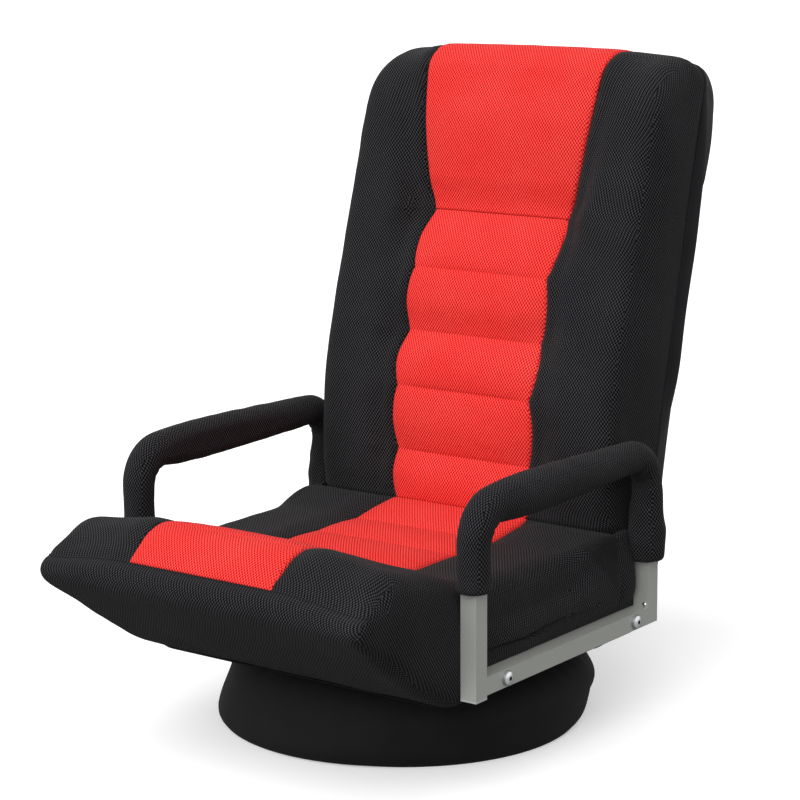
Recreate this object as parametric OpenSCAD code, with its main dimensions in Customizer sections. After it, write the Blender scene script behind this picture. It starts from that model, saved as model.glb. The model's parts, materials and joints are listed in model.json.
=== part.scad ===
// Swivel floor chair with armrests: a reclining backrest on two ratchet hinges,
// a seat with an upturned front roll, and a round swivel base.
// X runs to the sitter's left, -Y to the front, Z up. The origin is on the floor,
// on the swivel axis.

/* [Base] */
// Radius of the base where it rests on the floor
base_floor_r = 222; // [200:1:260]
// How far the cover bulges past its foot
base_bulge = 13; // [4:1:20]
// Height of the widest part of the base
base_waist_h = 43; // [36:1:50]
// Height of the base frame, up to the swivel plate
base_h = 89; // [84:1:110]
// Width of the rounded shoulder of the base
base_shoulder = 45; // [35:1:60]
// Radius of the round opening in the top of the base cover
base_mouth_r = 118; // [114:1:130]

/* [Swivel bearing] */
// Side of the square swivel plates
plate_w = 156; // [140:1:158]
// Thickness of the swivel plates
plate_t = 3; // [2:0.5:4]
// Height of each ball race above its plate
race_h = 3; // [2:0.5:4]
// Radius of the ball circle
race_r = 50; // [42:1:56]
// Diameter of a bearing ball
ball_d = 8; // [7:0.5:9]
// Number of bearing balls
ball_count = 24; // [12:1:30]
// Spacing of the four bolts of each swivel plate
plate_bolt_gap = 120; // [116:1:124]

/* [Seat] */
// Width of the seat cushion
seat_w = 490; // [480:1:492]
// How far the front roll reaches ahead of the swivel axis
seat_front = 415; // [380:1:440]
// Thickness of the seat, from its underside to the seams of the channels
seat_t = 130; // [115:1:140]
// Rounding of the cushion's side edges
seat_round = 22; // [12:1:26]
// Radius of the front roll's nose, seen from the side
nose_r = 30; // [26:1:36]
// Width of the red centre panels of the seat
seat_panel_w = 218; // [180:1:240]

/* [Backrest] */
// Length of the backrest above its hinge
back_l = 688; // [640:1:720]
// How far each side of the backrest lies inside the side of the seat
back_inset = 13; // [12:0.5:20]
// Depth of the front cushion ahead of the frame's plane
back_front = 118; // [100:1:124]
// Depth of the rear pad behind the frame's plane
back_rear = 42; // [34:1:46]
// Lean of the backrest from upright at rest
lean = 13; // [5:1:20]
// Rounding of the cushion's side edges
back_round = 34; // [20:1:38]
// Half width of the red channel panel at its seams
channel_half = 106; // [90:1:112]
// Half width of the red head panel at the top
head_half = 138; // [120:1:150]
// Radius of the top corners, seen from the front
back_corner = 52; // [35:1:60]

/* [Upholstery] */
// Height of a padded channel above its seams
rib_h = 8; // [4:0.5:10]
// Thickness of the padded centre panels
panel_t = 10; // [6:1:12]
// How far the side bolsters stand above the seams of the seat
seat_bolster = 7; // [3:1:10]

/* [Hinge] */
// Distance of the hinge axis behind the swivel axis
hinge_y = 178; // [170:1:186]
// Height of the hinge axis above the seat frame's tubes
hinge_rise = 29; // [26:1:34]
// Radius of the foam roll round the hinge axis
roll_r = 50; // [46:1:53]
// Thickness of the toothed hinge plate
gear_t = 5; // [4:0.5:6]
// Thickness of each cheek of the hinge housing
cheek_t = 3; // [2:0.5:4]
// Outer radius of the teeth
tooth_r = 31; // [29:0.5:33]
// Depth of the teeth
tooth_h = 5.5; // [4:0.5:6]
// Angle from tooth to tooth, which is the step of the recline
tooth_pitch = 15; // [15:1:15]
// Number of positions in which the backrest locks
tooth_count = 7; // [6:1:7]
// How far the backrest swings forward from rest
fold_angle = 45; // [30:15:45]
// Diameter of the hinge pin
hinge_pin_d = 12; // [10:0.5:14]
// Diameter of the pawl's pin
pawl_pin_d = 6; // [5:0.5:7]

/* [Frame] */
// Side of the seat frame's square tube
seat_tube = 20; // [18:0.5:22]
// Diameter of the backrest frame's round tube
back_tube_d = 20; // [19:0.5:22]
// Wall of the frame tubes
tube_wall = 1.5; // [1:0.25:2]
// How far the centre line of each side tube lies inside the side of the seat
seat_tube_inset = 33; // [31:0.5:35]

/* [Arms] */
// Side of the arms' square tube
arm_tube = 22; // [20:0.5:25]
// How far the centre line of each arm lies outside the side of the seat
arm_outset = 13; // [12:0.5:20]
// Distance of the front posts ahead of the swivel axis
arm_front = 219.5; // [200:0.5:230]
// Distance of the rear posts behind the swivel axis
arm_rear = 161; // [156:0.5:170]
// Height of the arm tube's centre line above the floor
arm_h = 346; // [330:1:380]
// Bend radius of the arm tube
arm_bend = 42; // [36:1:50]
// Radius of the padded sleeve where the arm rests
pad_r = 24.5; // [22:0.5:25]
// Radius of the sleeve on the front post
pad_front_r = 18; // [17:0.5:20]
// Radius of the sleeve on the rear post
pad_rear_r = 20; // [17:0.5:22]
// Height of the sleeve's front hem above the floor
pad_hem_front = 250; // [240:1:270]
// Height of the sleeve's rear hem above the floor
pad_hem_rear = 207; // [200:1:230]
// Diameter of the arm bolts
arm_bolt_d = 8; // [6:0.5:9]
// Distance of the front arm bolt ahead of the swivel axis
arm_bolt_front = 168; // [150:1:180]
// Distance of the rear arm bolt behind the swivel axis
arm_bolt_rear = 119; // [110:1:122]

/* [Hidden] */
$fn = 64;

// Clearances and overruns
gap = 0.3;          // between soft pieces and what they lie against
run = 0.05;         // radial, between a pin and the bore that turns on it
fit = 0.25;         // between bolted or trapped pieces
over = 2;           // every cut runs this far past the face it cuts
cloth = 2;          // thickness of the stiff bottom and base cloths

// Heights of the stack, from the floor up
lower_plate_z = base_h;
race_lift = ball_d * 3 / 16;
ball_z = lower_plate_z + plate_t + race_h + race_lift;
upper_race_z = ball_z + race_lift;
upper_plate_z = upper_race_z + race_h;
seat_z = upper_plate_z + plate_t;
crossbar_z = seat_z + cloth;
seat_tube_z = crossbar_z + seat_tube * 3 / 2;
hinge_z = seat_tube_z + hinge_rise;
cushion_z = seat_z + cloth + gap;
seat_top = seat_z + seat_t;

// Places across the chair, which follow the seat's width
seat_tube_x = seat_w / 2 - seat_tube_inset;
arm_x = seat_w / 2 + arm_outset;
back_w = seat_w - 2 * back_inset;

// Frame places
frame_front = 228;
frame_rear = 165;
frame_bend = 30;
crossbar_y = plate_bolt_gap / 2;
rear_bar_y = 96;
belt_t = 1.5;
belt_w = 42;
pocket_x = seat_tube_x + seat_tube / 2 + over;
pocket_z = seat_tube_z + seat_tube / 2 + belt_t + 2 * gap;

// Hinge places, across the chair
cheek_out_x = seat_tube_x - seat_tube / 2;
side_gap = 0.4;
gear_x = cheek_out_x - cheek_t - side_gap - gear_t / 2;
cheek_in_x = gear_x - gear_t / 2 - side_gap - cheek_t;
housing_rim = 4;
housing_r = tooth_r + housing_rim;
well_room = 7;
well_wall = 5;
hinge_well_r = roll_r + well_room;
hinge_well_x = cheek_in_x - well_wall;
tooth_root = tooth_r - tooth_h;
pawl_offset = 11;
pawl_reach = tooth_r + pawl_offset;
pawl_dir = 188;
pawl_tip_r = (tooth_r + tooth_root) / 2;
pawl_angle = pawl_dir + acos(pawl_tip_r / pawl_reach);
pawl_y = hinge_y + pawl_reach * cos(pawl_dir);
pawl_z = hinge_z + pawl_reach * sin(pawl_dir);
pawl_hub_wall = 3;
pawl_hub_r = pawl_pin_d / 2 + pawl_hub_wall;
pawl_t = gear_t;
foot_reach = 46;
foot_y = [hinge_y - foot_reach, frame_rear];

// Seams of the backrest's channels, from the crease up to the head panel, as
// shares of the backrest's length
seam_share = [0.0945, 0.191, 0.311, 0.420, 0.542, 0.660];
// Outline of the backrest's front in the middle plane of a bolster and at the edge
// of the centre panels: share of its length, then two shares of its front depth
back_front_shares = [
    [0.0945, 0.66, 0.71], [0.143, 0.71, 0.80], [0.191, 0.745, 0.87],
    [0.251, 0.87, 0.95], [0.311, 0.935, 1.00], [0.365, 0.915, 1.01],
    [0.420, 0.81, 1.00], [0.481, 0.885, 0.985], [0.542, 0.885, 0.965],
    [0.601, 0.77, 0.945], [0.660, 0.60, 0.92], [0.727, 0.69, 0.91],
    [0.814, 0.755, 0.90], [0.901, 0.77, 0.86], [0.945, 0.74, 0.79],
    [0.977, 0.61, 0.64], [0.994, 0.40, 0.42], [1.000, 0.12, 0.12]
];
// The crease, where the backrest's front meets the seat
crease_q = -back_front * back_front_shares[0][1];
crease_w = back_l * seam_share[0];
// Outline of the rear pad: share of the length, share of the rear depth
back_rear_shares = [
    [0.006, 1.20], [0.028, 1.42], [0.065, 1.48], [0.13, 1.28], [0.20, 1.04],
    [0.40, 1.00], [0.65, 1.00], [0.86, 1.02], [0.94, 1.00], [0.975, 0.86],
    [0.993, 0.58], [0.999, 0.28]
];

// Outline of the seat's front roll and top: share of the reach ahead of the
// swivel axis, share of the seat's thickness above its underside
seat_under_shares = [[0.545, 0.01], [0.63, 0.105], [0.735, 0.325], [0.855, 0.60]];
seat_nose_share = [0.928, 1.085];
nose_turn = [231, 127];
seat_roll_shares = [[0.966, 1.285], [0.925, 1.41], [0.88, 1.51], [0.826, 1.555]];
seat_fall_shares = [[0.74, 1.475], [0.62, 1.31], [0.52, 1.15], [0.43, 1.05], [0.33, 1.0]];
// Seams of the seat's channels, as shares of the same reach
seat_seam_share = [0.826, 0.33, 0.125, -0.075, -0.3];

// Folding forward presses the crease into the seat. The seat's foam block ends on a
// slope that the folded backrest clears, and a soft wedge fills the rest.
function turn(p, a) = [p[0] * cos(a) - p[1] * sin(a), p[0] * sin(a) + p[1] * cos(a)];
function from_back(q, w, a = 0) = [hinge_y, hinge_z] + turn([q, w], a - lean);
function front_at(k, bolster) = let (s = back_front_shares[k])
    [-back_front * (s[1] + (s[2] - s[1]) * bolster), back_l * s[0]];
slope_low = from_back(front_at(0, 1)[0], front_at(0, 1)[1], fold_angle);
slope_high = from_back(front_at(2, 1)[0], front_at(2, 1)[1], fold_angle);
slope_dir = (slope_low - slope_high) / norm(slope_low - slope_high);
slope_foot = slope_low + [slope_dir[1], -slope_dir[0]] * 2 * over;
function slope_at(z) = slope_foot + slope_dir * (z - slope_foot[1]) / slope_dir[1];
function crease_at(bolster) = from_back(front_at(0, bolster)[0], front_at(0, bolster)[1]);

// Curve through points, with n steps between one point and the next
function pick(p, i) = p[min(max(i, 0), len(p) - 1)];
function blend_at(a, b, c, d, t) =
    0.5 * (2 * b + (c - a) * t + (2 * a - 5 * b + 4 * c - d) * t * t
    + (3 * b - a - 3 * c + d) * t * t * t);
function smooth(p, n) = [
    for (i = [0 : len(p) - 2]) for (k = [0 : n - 1])
        blend_at(pick(p, i - 1), p[i], p[i + 1], pick(p, i + 2), k / n),
    p[len(p) - 1]
];
function arc(c, r, a0, a1, n) = [for (k = [0 : n]) c + r * [cos(a0 + (a1 - a0) * k / n), sin(a0 + (a1 - a0) * k / n)]];
function flat_list(rows) = [for (r = rows) for (p = r) p];
function ease(t) = let (u = min(max(t, 0), 1)) u * u * (3 - 2 * u);
function tangent(p, i) = let (d = p[i + 1 < len(p) ? i + 1 : i] - p[max(i - 1, 0)]) d / norm(d);
// A path that runs with its solid on the right hand, each point with its outward normal
function rail(p) = [for (i = [0 : len(p) - 1]) let (t = tangent(p, i)) concat(p[i], [-t[1], t[0]])];
function part_of(p, i0, i1) = [for (i = [i0 : i1]) p[i]];
function without_first(p) = part_of(p, 1, len(p) - 1);
// The same closed outline begun k points further on, so that the skin's end faces start on a convex corner
function begun_at(p, k) = [for (i = [0 : len(p) - 1]) p[(i + k) % len(p)]];
// The same for a closed outline
function loop_normal(p, i) =
    let (n = len(p), d = p[(i + 1) % n] - p[(i + n - 1) % n], t = d / norm(d)) [-t[1], t[0]];

// A closed skin over rings of equally many points, with flat ends. A ring that is hollow
// somewhere is zipped shut between its two sides, from its first and last points
module skin(rings, zipped = false) {
    m = len(rings);
    n = len(rings[0]);
    zip = flat_list([for (i = [0 : n / 2 - 2]) [[i, i + 1, n - 1 - i], [i + 1, n - 2 - i, n - 1 - i]]]);
    cap = zipped ? zip : [[for (i = [0 : n - 1]) i]];
    polyhedron(
        points = flat_list(rings),
        faces = concat(
            [for (f = cap) [for (k = [len(f) - 1 : -1 : 0]) f[k]]],
            [for (j = [0 : m - 2]) for (i = [0 : n - 1])
                [j * n + i, j * n + (i + 1) % n, (j + 1) * n + (i + 1) % n]],
            [for (j = [0 : m - 2]) for (i = [0 : n - 1])
                [j * n + i, (j + 1) * n + (i + 1) % n, (j + 1) * n + i]],
            [for (f = cap) [for (i = f) (m - 1) * n + i]]
        )
    );
}

// A padded slab between an upper and a lower grid of points
module slab(top, low) {
    m = len(top);
    n = len(top[0]);
    s = m * n;
    at = function (i, j) i * n + j;
    // The two triangles of a four-cornered patch
    patch = function (a, b, c, d) [[a, b, c], [a, c, d]];
    polyhedron(
        points = concat(flat_list(top), flat_list(low)),
        faces = concat(
            flat_list([for (i = [0 : m - 2]) for (j = [0 : n - 2])
                patch(at(i, j), at(i + 1, j), at(i + 1, j + 1), at(i, j + 1))]),
            flat_list([for (i = [0 : m - 2]) for (j = [0 : n - 2])
                patch(s + at(i, j), s + at(i, j + 1), s + at(i + 1, j + 1), s + at(i + 1, j))]),
            flat_list([for (i = [0 : m - 2]) patch(at(i, 0), s + at(i, 0), s + at(i + 1, 0), at(i + 1, 0))]),
            flat_list([for (i = [0 : m - 2])
                patch(at(i, n - 1), at(i + 1, n - 1), s + at(i + 1, n - 1), s + at(i, n - 1))]),
            flat_list([for (j = [0 : n - 2]) patch(at(0, j), at(0, j + 1), s + at(0, j + 1), s + at(0, j))]),
            flat_list([for (j = [0 : n - 2])
                patch(at(m - 1, j), s + at(m - 1, j), s + at(m - 1, j + 1), at(m - 1, j + 1))])
        )
    );
}

// Both sides of the chair: the left side is modelled and the right side mirrors it
module side(name) {
    if (name == "left") children();
    else mirror([1, 0, 0]) children();
}
// The backrest's own frame: Y runs back from the frame's plane, Z up along it
module in_back() translate([0, hinge_y, hinge_z]) rotate([-lean, 0, 0]) children();
// A solid drawn as a side view in Y and Z, from x to x + t
module side_plate(x, t) translate([x, 0, 0]) rotate([90, 0, 90]) linear_extrude(t) children();
// A round bar along X
module cross_pin(x0, x1, y, z, r) translate([x0, y, z]) rotate([0, 90, 0]) cylinder(h = x1 - x0, r = r);

// Base

module base_outline(inset) {
    foot = base_floor_r - inset;
    waist = base_floor_r + base_bulge - inset;
    crown = waist - base_shoulder + inset;
    top = base_h + cloth + gap - inset;
    steps = 12;
    polygon(concat(
        [[0, inset]],
        [for (k = [0 : steps]) [foot + (waist - foot) * sin(90 * k / steps),
            base_waist_h - (base_waist_h - inset) * cos(90 * k / steps)]],
        [for (k = [1 : steps]) [crown + (waist - crown) * cos(90 * k / steps),
            base_waist_h + (top - base_waist_h) * sin(90 * k / steps)]],
        [[0, top]]
    ));
}

frame_ring_r = base_floor_r + base_bulge - base_shoulder - seat_tube / 2;
module base_floor_pad() color("#1c1c1e") cylinder(h = cloth * 3 / 2, r = base_floor_r - cloth - gap);

module base_frame() color("#3a3b3d") {
    pad_top = cloth * 3 / 2;
    ring_tube = seat_tube / 2;
    translate([0, 0, pad_top + ring_tube]) rotate_extrude() translate([frame_ring_r, 0]) circle(ring_tube);
    difference() {
        union() {
            for (a = [0, 90]) rotate([0, 0, a])
                translate([-frame_ring_r - seat_tube / 2, -seat_tube / 2, base_h - seat_tube])
                    cube([2 * frame_ring_r + seat_tube, seat_tube, seat_tube]);
            translate([-plate_w / 2, -plate_w / 2, base_h - plate_t]) cube([plate_w, plate_w, plate_t]);
            for (a = [0 : 90 : 270]) rotate([0, 0, a])
                translate([frame_ring_r, 0, pad_top + ring_tube])
                    cylinder(h = base_h - seat_tube - pad_top - ring_tube, r = ring_tube);
        }
        plate_holes(base_h - seat_tube - over, seat_tube + 2 * over);
        translate([0, 0, base_h - plate_t]) cylinder(h = seat_tube, r = king_head_r * 0.8);
    }
}

module base_foam() color("#2a2a2c") difference() {
    rotate_extrude() intersection() {
        base_outline(cloth + gap);
        translate([frame_ring_r + seat_tube / 2 + gap, cloth * 3 / 2 + gap])
            square([base_floor_r, base_h]);
    }
}

module base_cover() color("#1b1b1d") difference() {
    rotate_extrude() base_outline(0);
    rotate_extrude() difference() {
        base_outline(cloth);
        translate([-over, -over]) square([over, base_h + 2 * over]);
    }
    translate([0, 0, -over]) cylinder(h = base_waist_h, r = base_floor_r - cloth);
    translate([0, 0, base_waist_h]) cylinder(h = base_h, r = base_mouth_r);
}

// Swivel bearing

king_r = 9;
king_head_r = 15;
plate_bolt_r = 3;
module plate_holes(z, h) for (x = [-1, 1], y = [-1, 1])
    translate([x * plate_bolt_gap / 2, y * plate_bolt_gap / 2, z]) cylinder(h = h, r = plate_bolt_r + fit);
module round_plate(z) translate([0, 0, z]) linear_extrude(plate_t) plate_shape();
plate_corner = 12;
module plate_shape() {
    inner = plate_w / 2 - plate_corner;
    for (x = [-1, 1], y = [-1, 1]) translate([x * inner, y * inner]) circle(plate_corner);
    square([plate_w, 2 * inner], center = true);
    square([2 * inner, plate_w], center = true);
}
race_half = ball_d;
module race(z) translate([0, 0, z]) rotate_extrude() difference() {
    translate([race_r - race_half, 0]) square([2 * race_half, race_h]);
    translate([race_r, ball_z - z]) circle(ball_d / 2 + run);
}

module swivel_lower_plate() color("#8d8f92") difference() {
    union() {
        round_plate(lower_plate_z);
        race(lower_plate_z + plate_t);
    }
    translate([0, 0, lower_plate_z - over]) cylinder(h = plate_t + 2 * over, r = king_r + fit);
    plate_holes(lower_plate_z - over, plate_t + 2 * over);
}

module swivel_upper_plate() color("#8d8f92") difference() {
    union() {
        round_plate(upper_plate_z);
        race(upper_race_z);
    }
    translate([0, 0, upper_plate_z - over]) cylinder(h = plate_t + 2 * over, r = king_r + run);
    plate_holes(upper_plate_z - over, plate_t + 2 * over);
}

module swivel_balls() color("silver") for (k = [0 : ball_count - 1]) rotate([0, 0, k * 360 / ball_count])
    translate([race_r, 0, ball_z]) sphere(d = ball_d);

cage_t = 1;
module swivel_ball_cage() color("#c9b26a") difference() {
    translate([0, 0, ball_z - cage_t / 2]) difference() {
        cylinder(h = cage_t, r = race_r + ball_d * 3 / 4);
        translate([0, 0, -over]) cylinder(h = cage_t + 2 * over, r = race_r - ball_d * 3 / 4);
    }
    for (k = [0 : ball_count - 1]) rotate([0, 0, k * 360 / ball_count])
        translate([race_r, 0, ball_z - over]) cylinder(h = 2 * over, d = ball_d + fit);
}

king_head_t = 1.6;
module swivel_king_pin() color("#77797c") {
    low = lower_plate_z - fit - king_head_t;
    high = upper_plate_z + plate_t + fit / 2;
    translate([0, 0, low]) cylinder(h = king_head_t, r = king_head_r * 0.75);
    translate([0, 0, low]) cylinder(h = high - low, r = king_r);
    translate([0, 0, high]) cylinder(h = cloth - fit, r = king_head_r);
}

bolt_head_h = 3.2;
bolt_head_r = 5.5;
module plate_bolts(head_z, tip_z, nut_z) for (x = [-1, 1], y = [-1, 1])
    translate([x * plate_bolt_gap / 2, y * plate_bolt_gap / 2, 0]) {
        translate([0, 0, min(head_z, tip_z)]) cylinder(h = abs(tip_z - head_z), r = plate_bolt_r);
        translate([0, 0, head_z < tip_z ? head_z : head_z - bolt_head_h])
            cylinder(h = bolt_head_h, r = bolt_head_r);
        translate([0, 0, nut_z]) cylinder(h = nut_h, r = bolt_head_r + 1 * fit, $fn = 6);
    }
nut_h = 5;
module base_plate_bolts() color("#b9bbbe")
    plate_bolts(lower_plate_z + plate_t + bolt_head_h + fit / 5, base_h - plate_t - nut_h - over, base_h - plate_t - nut_h - fit / 5);
module seat_plate_bolts() color("#b9bbbe")
    plate_bolts(upper_plate_z - bolt_head_h - fit / 5, crossbar_z + seat_tube + nut_h + over, crossbar_z + seat_tube + fit / 5);

// Seat frame

// A square tube along Y, and a quarter bend of it in the plane of the seat
module square_tube(x, y0, y1, z) translate([x, y0, z]) rotate([-90, 0, 0]) linear_extrude(y1 - y0) tube_ring(seat_tube);
module tube_ring(w) difference() {
    square(w, center = true);
    square(w - 2 * tube_wall, center = true);
}
module cross_tube(x, y, z) translate([-x, y, z]) rotate([90, 0, 90]) linear_extrude(2 * x) tube_ring(seat_tube);

module seat_frame() color("#303133") difference() {
    straight = seat_tube_x - frame_bend;
    bend_y = -frame_front + seat_tube / 2 + frame_bend;
    union() {
        for (s = [-1, 1]) square_tube(s * seat_tube_x, bend_y, frame_rear, seat_tube_z);
        for (s = [0, 1]) mirror([s, 0, 0]) translate([straight, bend_y, seat_tube_z])
            rotate([0, 0, -90]) rotate_extrude(angle = 90) translate([frame_bend, 0]) tube_ring(seat_tube);
        cross_tube(straight, -frame_front + seat_tube / 2, seat_tube_z);
        cross_tube(seat_tube_x - seat_tube / 2, rear_bar_y, seat_tube_z);
    }
    for (s = [0, 1]) mirror([s, 0, 0]) for (y = [-arm_bolt_front, arm_bolt_rear])
        cross_pin(seat_tube_x - seat_tube, seat_tube_x + seat_tube, y, seat_tube_z, arm_bolt_d / 2 + fit);
}

module seat_crossbars() color("#303133") difference() {
    for (s = [-1, 1]) cross_tube(seat_tube_x + seat_tube / 2 - over, s * crossbar_y, crossbar_z + seat_tube / 2);
    plate_holes(crossbar_z - over, seat_tube + 2 * over);
}

module seat_belts() color("#4a4a4c") for (t = [-0.78 : 0.26 : 0.27])
    translate([-seat_tube_x - seat_tube / 2 + over, t * frame_front - belt_w / 2, seat_tube_z + seat_tube / 2 + gap / 3])
        cube([2 * seat_tube_x + seat_tube - 2 * over, belt_w, belt_t]);

cover_rear_rim = 8;
cover_front_rim = 3;
cover_rear = frame_rear + cover_rear_rim;
cover_front = frame_front + cover_front_rim;
module seat_bottom_cover() color("#1d1d1f") difference() {
    union() {
        translate([-seat_w / 2 + seat_round / 2, -cover_front, seat_z]) cube([seat_w - seat_round, cover_front + cover_rear, cloth]);
        translate([-pocket_x + over, cover_rear - cloth, seat_z]) cube([2 * pocket_x - 2 * over, cloth, hinge_z - roll_r - seat_z - cloth]);
    }
    plate_holes(seat_z - over, cloth + 2 * over);
    translate([0, 0, seat_z - over]) cylinder(h = cloth + 2 * over, r = king_head_r + 4 * fit);
}

// Seat cushion

function seat_point(s, lift = 0) = [-seat_front * s[0], cushion_z + (seat_top - cushion_z) * s[1] + lift];
function seat_rear_point(bolster) = slope_at(seat_top + bolster);
function seat_roll_path(n) = smooth([for (s = seat_roll_shares) seat_point(s)], n);
function seam_y(k) = -seat_front * seat_seam_share[k];
// From the crest of the front roll back to the slope, with a point on every seam
function seat_channel_path(n) = smooth(concat(
    [seat_point(seat_roll_shares[3])],
    [for (s = seat_fall_shares) seat_point(s)],
    [[(seam_y(1) + seam_y(2)) / 2, seat_top], [seam_y(2), seat_top]],
    [([seam_y(2), seat_top] + seat_rear_point(0)) / 2, seat_rear_point(0)]
), n);
function seat_loop(bolster) = concat(
    [[hinge_y - roll_r - gap, cushion_z]],
    smooth([for (s = seat_under_shares) seat_point(s)], 2),
    arc(seat_point(seat_nose_share), nose_r, nose_turn[0], nose_turn[1], 5),
    [for (k = [2 : 6]) seat_roll_path(2)[k]],
    [for (k = [1 : 8]) let (p = seat_channel_path(1)[k])
        p + [0, bolster * ease((p[0] + seat_front * 0.7) / (seat_front * 0.3))]],
    [seat_rear_point(bolster), slope_foot, [hinge_y - roll_r - gap, hinge_z + gap]]
);

// Places across a cushion: its rounded side, then the rise from panel to bolster, whose
// top and knee lie this far outside the panel
rise_top = 42;
rise_low = 20;
function across(half, r, panel) = let (
    side_x = [for (a = [90, 60, 30, 0]) [half - r + r * sin(a), r * (1 - cos(a)), 1]],
    mid_x = [[panel + rise_top, 0, 1], [panel + rise_low, 0, 0.55], [panel, 0, 0], [panel / 2, 0, 0]]
) concat([for (s = side_x) [-s[0], s[1], s[2]]], [for (s = mid_x) [-s[0], s[1], s[2]]], [[0, 0, 0]],
    [for (k = [3 : -1 : 0]) mid_x[k]], [for (k = [3 : -1 : 0]) side_x[k]]);
function inset_ring(x, loop, d) = [for (i = [0 : len(loop) - 1])
    let (p = loop[i] - d * loop_normal(loop, i)) [x, p[0], p[1]]];

function ring_at(x, loop) = [for (p = loop) [x, p[0], p[1]]];
seat_panel_half = seat_panel_w / 2;
module seat_form() skin([for (s = across(seat_w / 2, seat_round, seat_panel_half))
    inset_ring(s[0], seat_loop(seat_bolster * s[2]), s[1])], zipped = true);

// The foam block beside each hinge, which closes the side between seat and backrest
spacer_r = 8;
side_block_wall = 3;
side_block_front = arm_bolt_rear - spacer_r - side_block_wall;
module spacer_hole(y) cross_pin(seat_tube_x, arm_x, y, seat_tube_z, spacer_r + gap);
module seat_side_blocks() color("#161618") for (s = [0, 1]) mirror([s, 0, 0]) {
    difference() {
        cross_pin(pocket_x, back_w / 2 - over, hinge_y, hinge_z, roll_r - gap);
        translate([seat_tube_x, hinge_y - over / 2, hinge_z - 2 * roll_r]) cube([seat_w, 2 * roll_r, 2 * roll_r]);
    }
    difference() {
        translate([pocket_x, side_block_front + gap, cushion_z])
            cube([seat_w / 2 - seat_round / 3 - pocket_x, hinge_y - over - side_block_front - gap, hinge_z - over - cushion_z]);
        spacer_hole(arm_bolt_rear);
    }
}
// Room in the cushion for the front spacer and for the foam block
module side_room() for (s = [0, 1]) mirror([s, 0, 0]) {
    spacer_hole(-arm_bolt_front);
    translate([pocket_x - over, side_block_front, 0]) cube([seat_w, hinge_y, slope_foot[1] + over]);
}
module hinge_wells() for (s = [0, 1]) mirror([s, 0, 0])
    cross_pin(hinge_well_x, pocket_x, hinge_y, hinge_z, hinge_well_r);

module seat_cushion() color("#161618") difference() {
    seat_form();
    translate([-pocket_x, -frame_front - over / 2, cushion_z - over]) cube([2 * pocket_x, frame_front + hinge_y, pocket_z - cushion_z + over]);
    hinge_wells();
    side_room();
    panel_hollow(seat_rail);
}

// A padded centre panel on a rail: half is its half width at each point, crowns the
// height of its channels, off its offset from the rail and wide what its edges gain
panel_shares = [-1, -0.94, -0.7, -0.35, 0, 0.35, 0.7, 0.94, 1];
panel_steps = 3;
function panel_grid(path, half, crowns, off, wide) = [for (i = [0 : len(path) - 1]) [for (s = panel_shares)
    let (p = path[i], up = off + crowns[i] * (1 - pow(abs(s), 6)))
    [s * (half[i] + wide), p[0] + up * p[2], p[1] + up * p[3]]]];
function same(v, n) = [for (i = [0 : n - 1]) v];
// Height of a channel at v, between the seams that are listed
function crown_at(v, seams) = let (k = [for (j = [0 : len(seams) - 2]) if (v <= seams[j + 1] + gap) j][0])
    rib_h * pow(max(0, sin(180 * (v - seams[k]) / (seams[k + 1] - seams[k]))), 0.8);
module panel(path, half, crowns) slab(
    panel_grid(path, half, crowns, 0, 0), panel_grid(path, half, same(0, len(path)), -panel_t, 0));
// What a cushion leaves out for its panel
module hollow(path, half) slab(
    panel_grid(path, half, same(0, len(path)), panel_t, gap), panel_grid(path, half, same(0, len(path)), -panel_t - gap, gap));
module panel_hollow(path) hollow(path, same(seat_panel_half, len(path)));

// The rail of the seat's three panels, from the front seam over the roll and into the crease
crest_step = 3 * panel_steps;
slope_step = crest_step + 9 * panel_steps;
seat_rail = rail(concat(
    seat_roll_path(panel_steps), without_first(seat_channel_path(panel_steps)), without_first(crease_path(panel_steps))));
seat_crown = 0.6;
function seat_crowns(path) = [for (p = path)
    seat_crown * crown_at(p[0], [seam_y(0) - gap, seam_y(1), seam_y(2), seam_y(3), seam_y(4)])];
module seat_panel(i0, i1) {
    path = part_of(seat_rail, i0, i1);
    panel(path, same(seat_panel_half, len(path)), seat_crowns(path));
}
roll_path = part_of(seat_rail, 0, crest_step);
module seat_front_panel() color("#d8201f")
    panel(roll_path, same(seat_panel_half, crest_step + 1), [for (i = [0 : crest_step]) rib_h / 2 * sin(180 * i / crest_step)]);
module seat_channel_panel() color("#d8201f") seat_panel(crest_step, slope_step);

// Crease between seat and backrest

function crease_path(n, bolster = 0, drop = 0) = smooth([
    seat_rear_point(bolster - drop), [seam_y(3), seat_top + bolster - drop],
    [(seam_y(3) + crease_at(0)[0]) / 2, seat_top + bolster - drop + rib_h / 4],
    crease_at(bolster / seat_bolster) - [gap, drop]], n);
function crease_angle(bolster) = 180 - lean - atan(front_at(0, bolster)[1] / -front_at(0, bolster)[0]);
crease_arc_end = 177;
function crease_loop(bolster, drop) = concat(
    [slope_foot + [2 * gap, gap], crease_path(2, bolster, drop)[0] + [gap, 0]],
    [for (k = [1 : 5]) crease_path(2, bolster, drop)[k]],
    [[hinge_y, hinge_z] + (norm(front_at(0, bolster / seat_bolster)) - drop) * [
        cos(crease_angle(bolster / seat_bolster) + 1), sin(crease_angle(bolster / seat_bolster) + 1)]],
    arc([hinge_y, hinge_z], roll_r + gap, crease_angle(0) + 1.5, crease_arc_end, 5)
);
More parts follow.
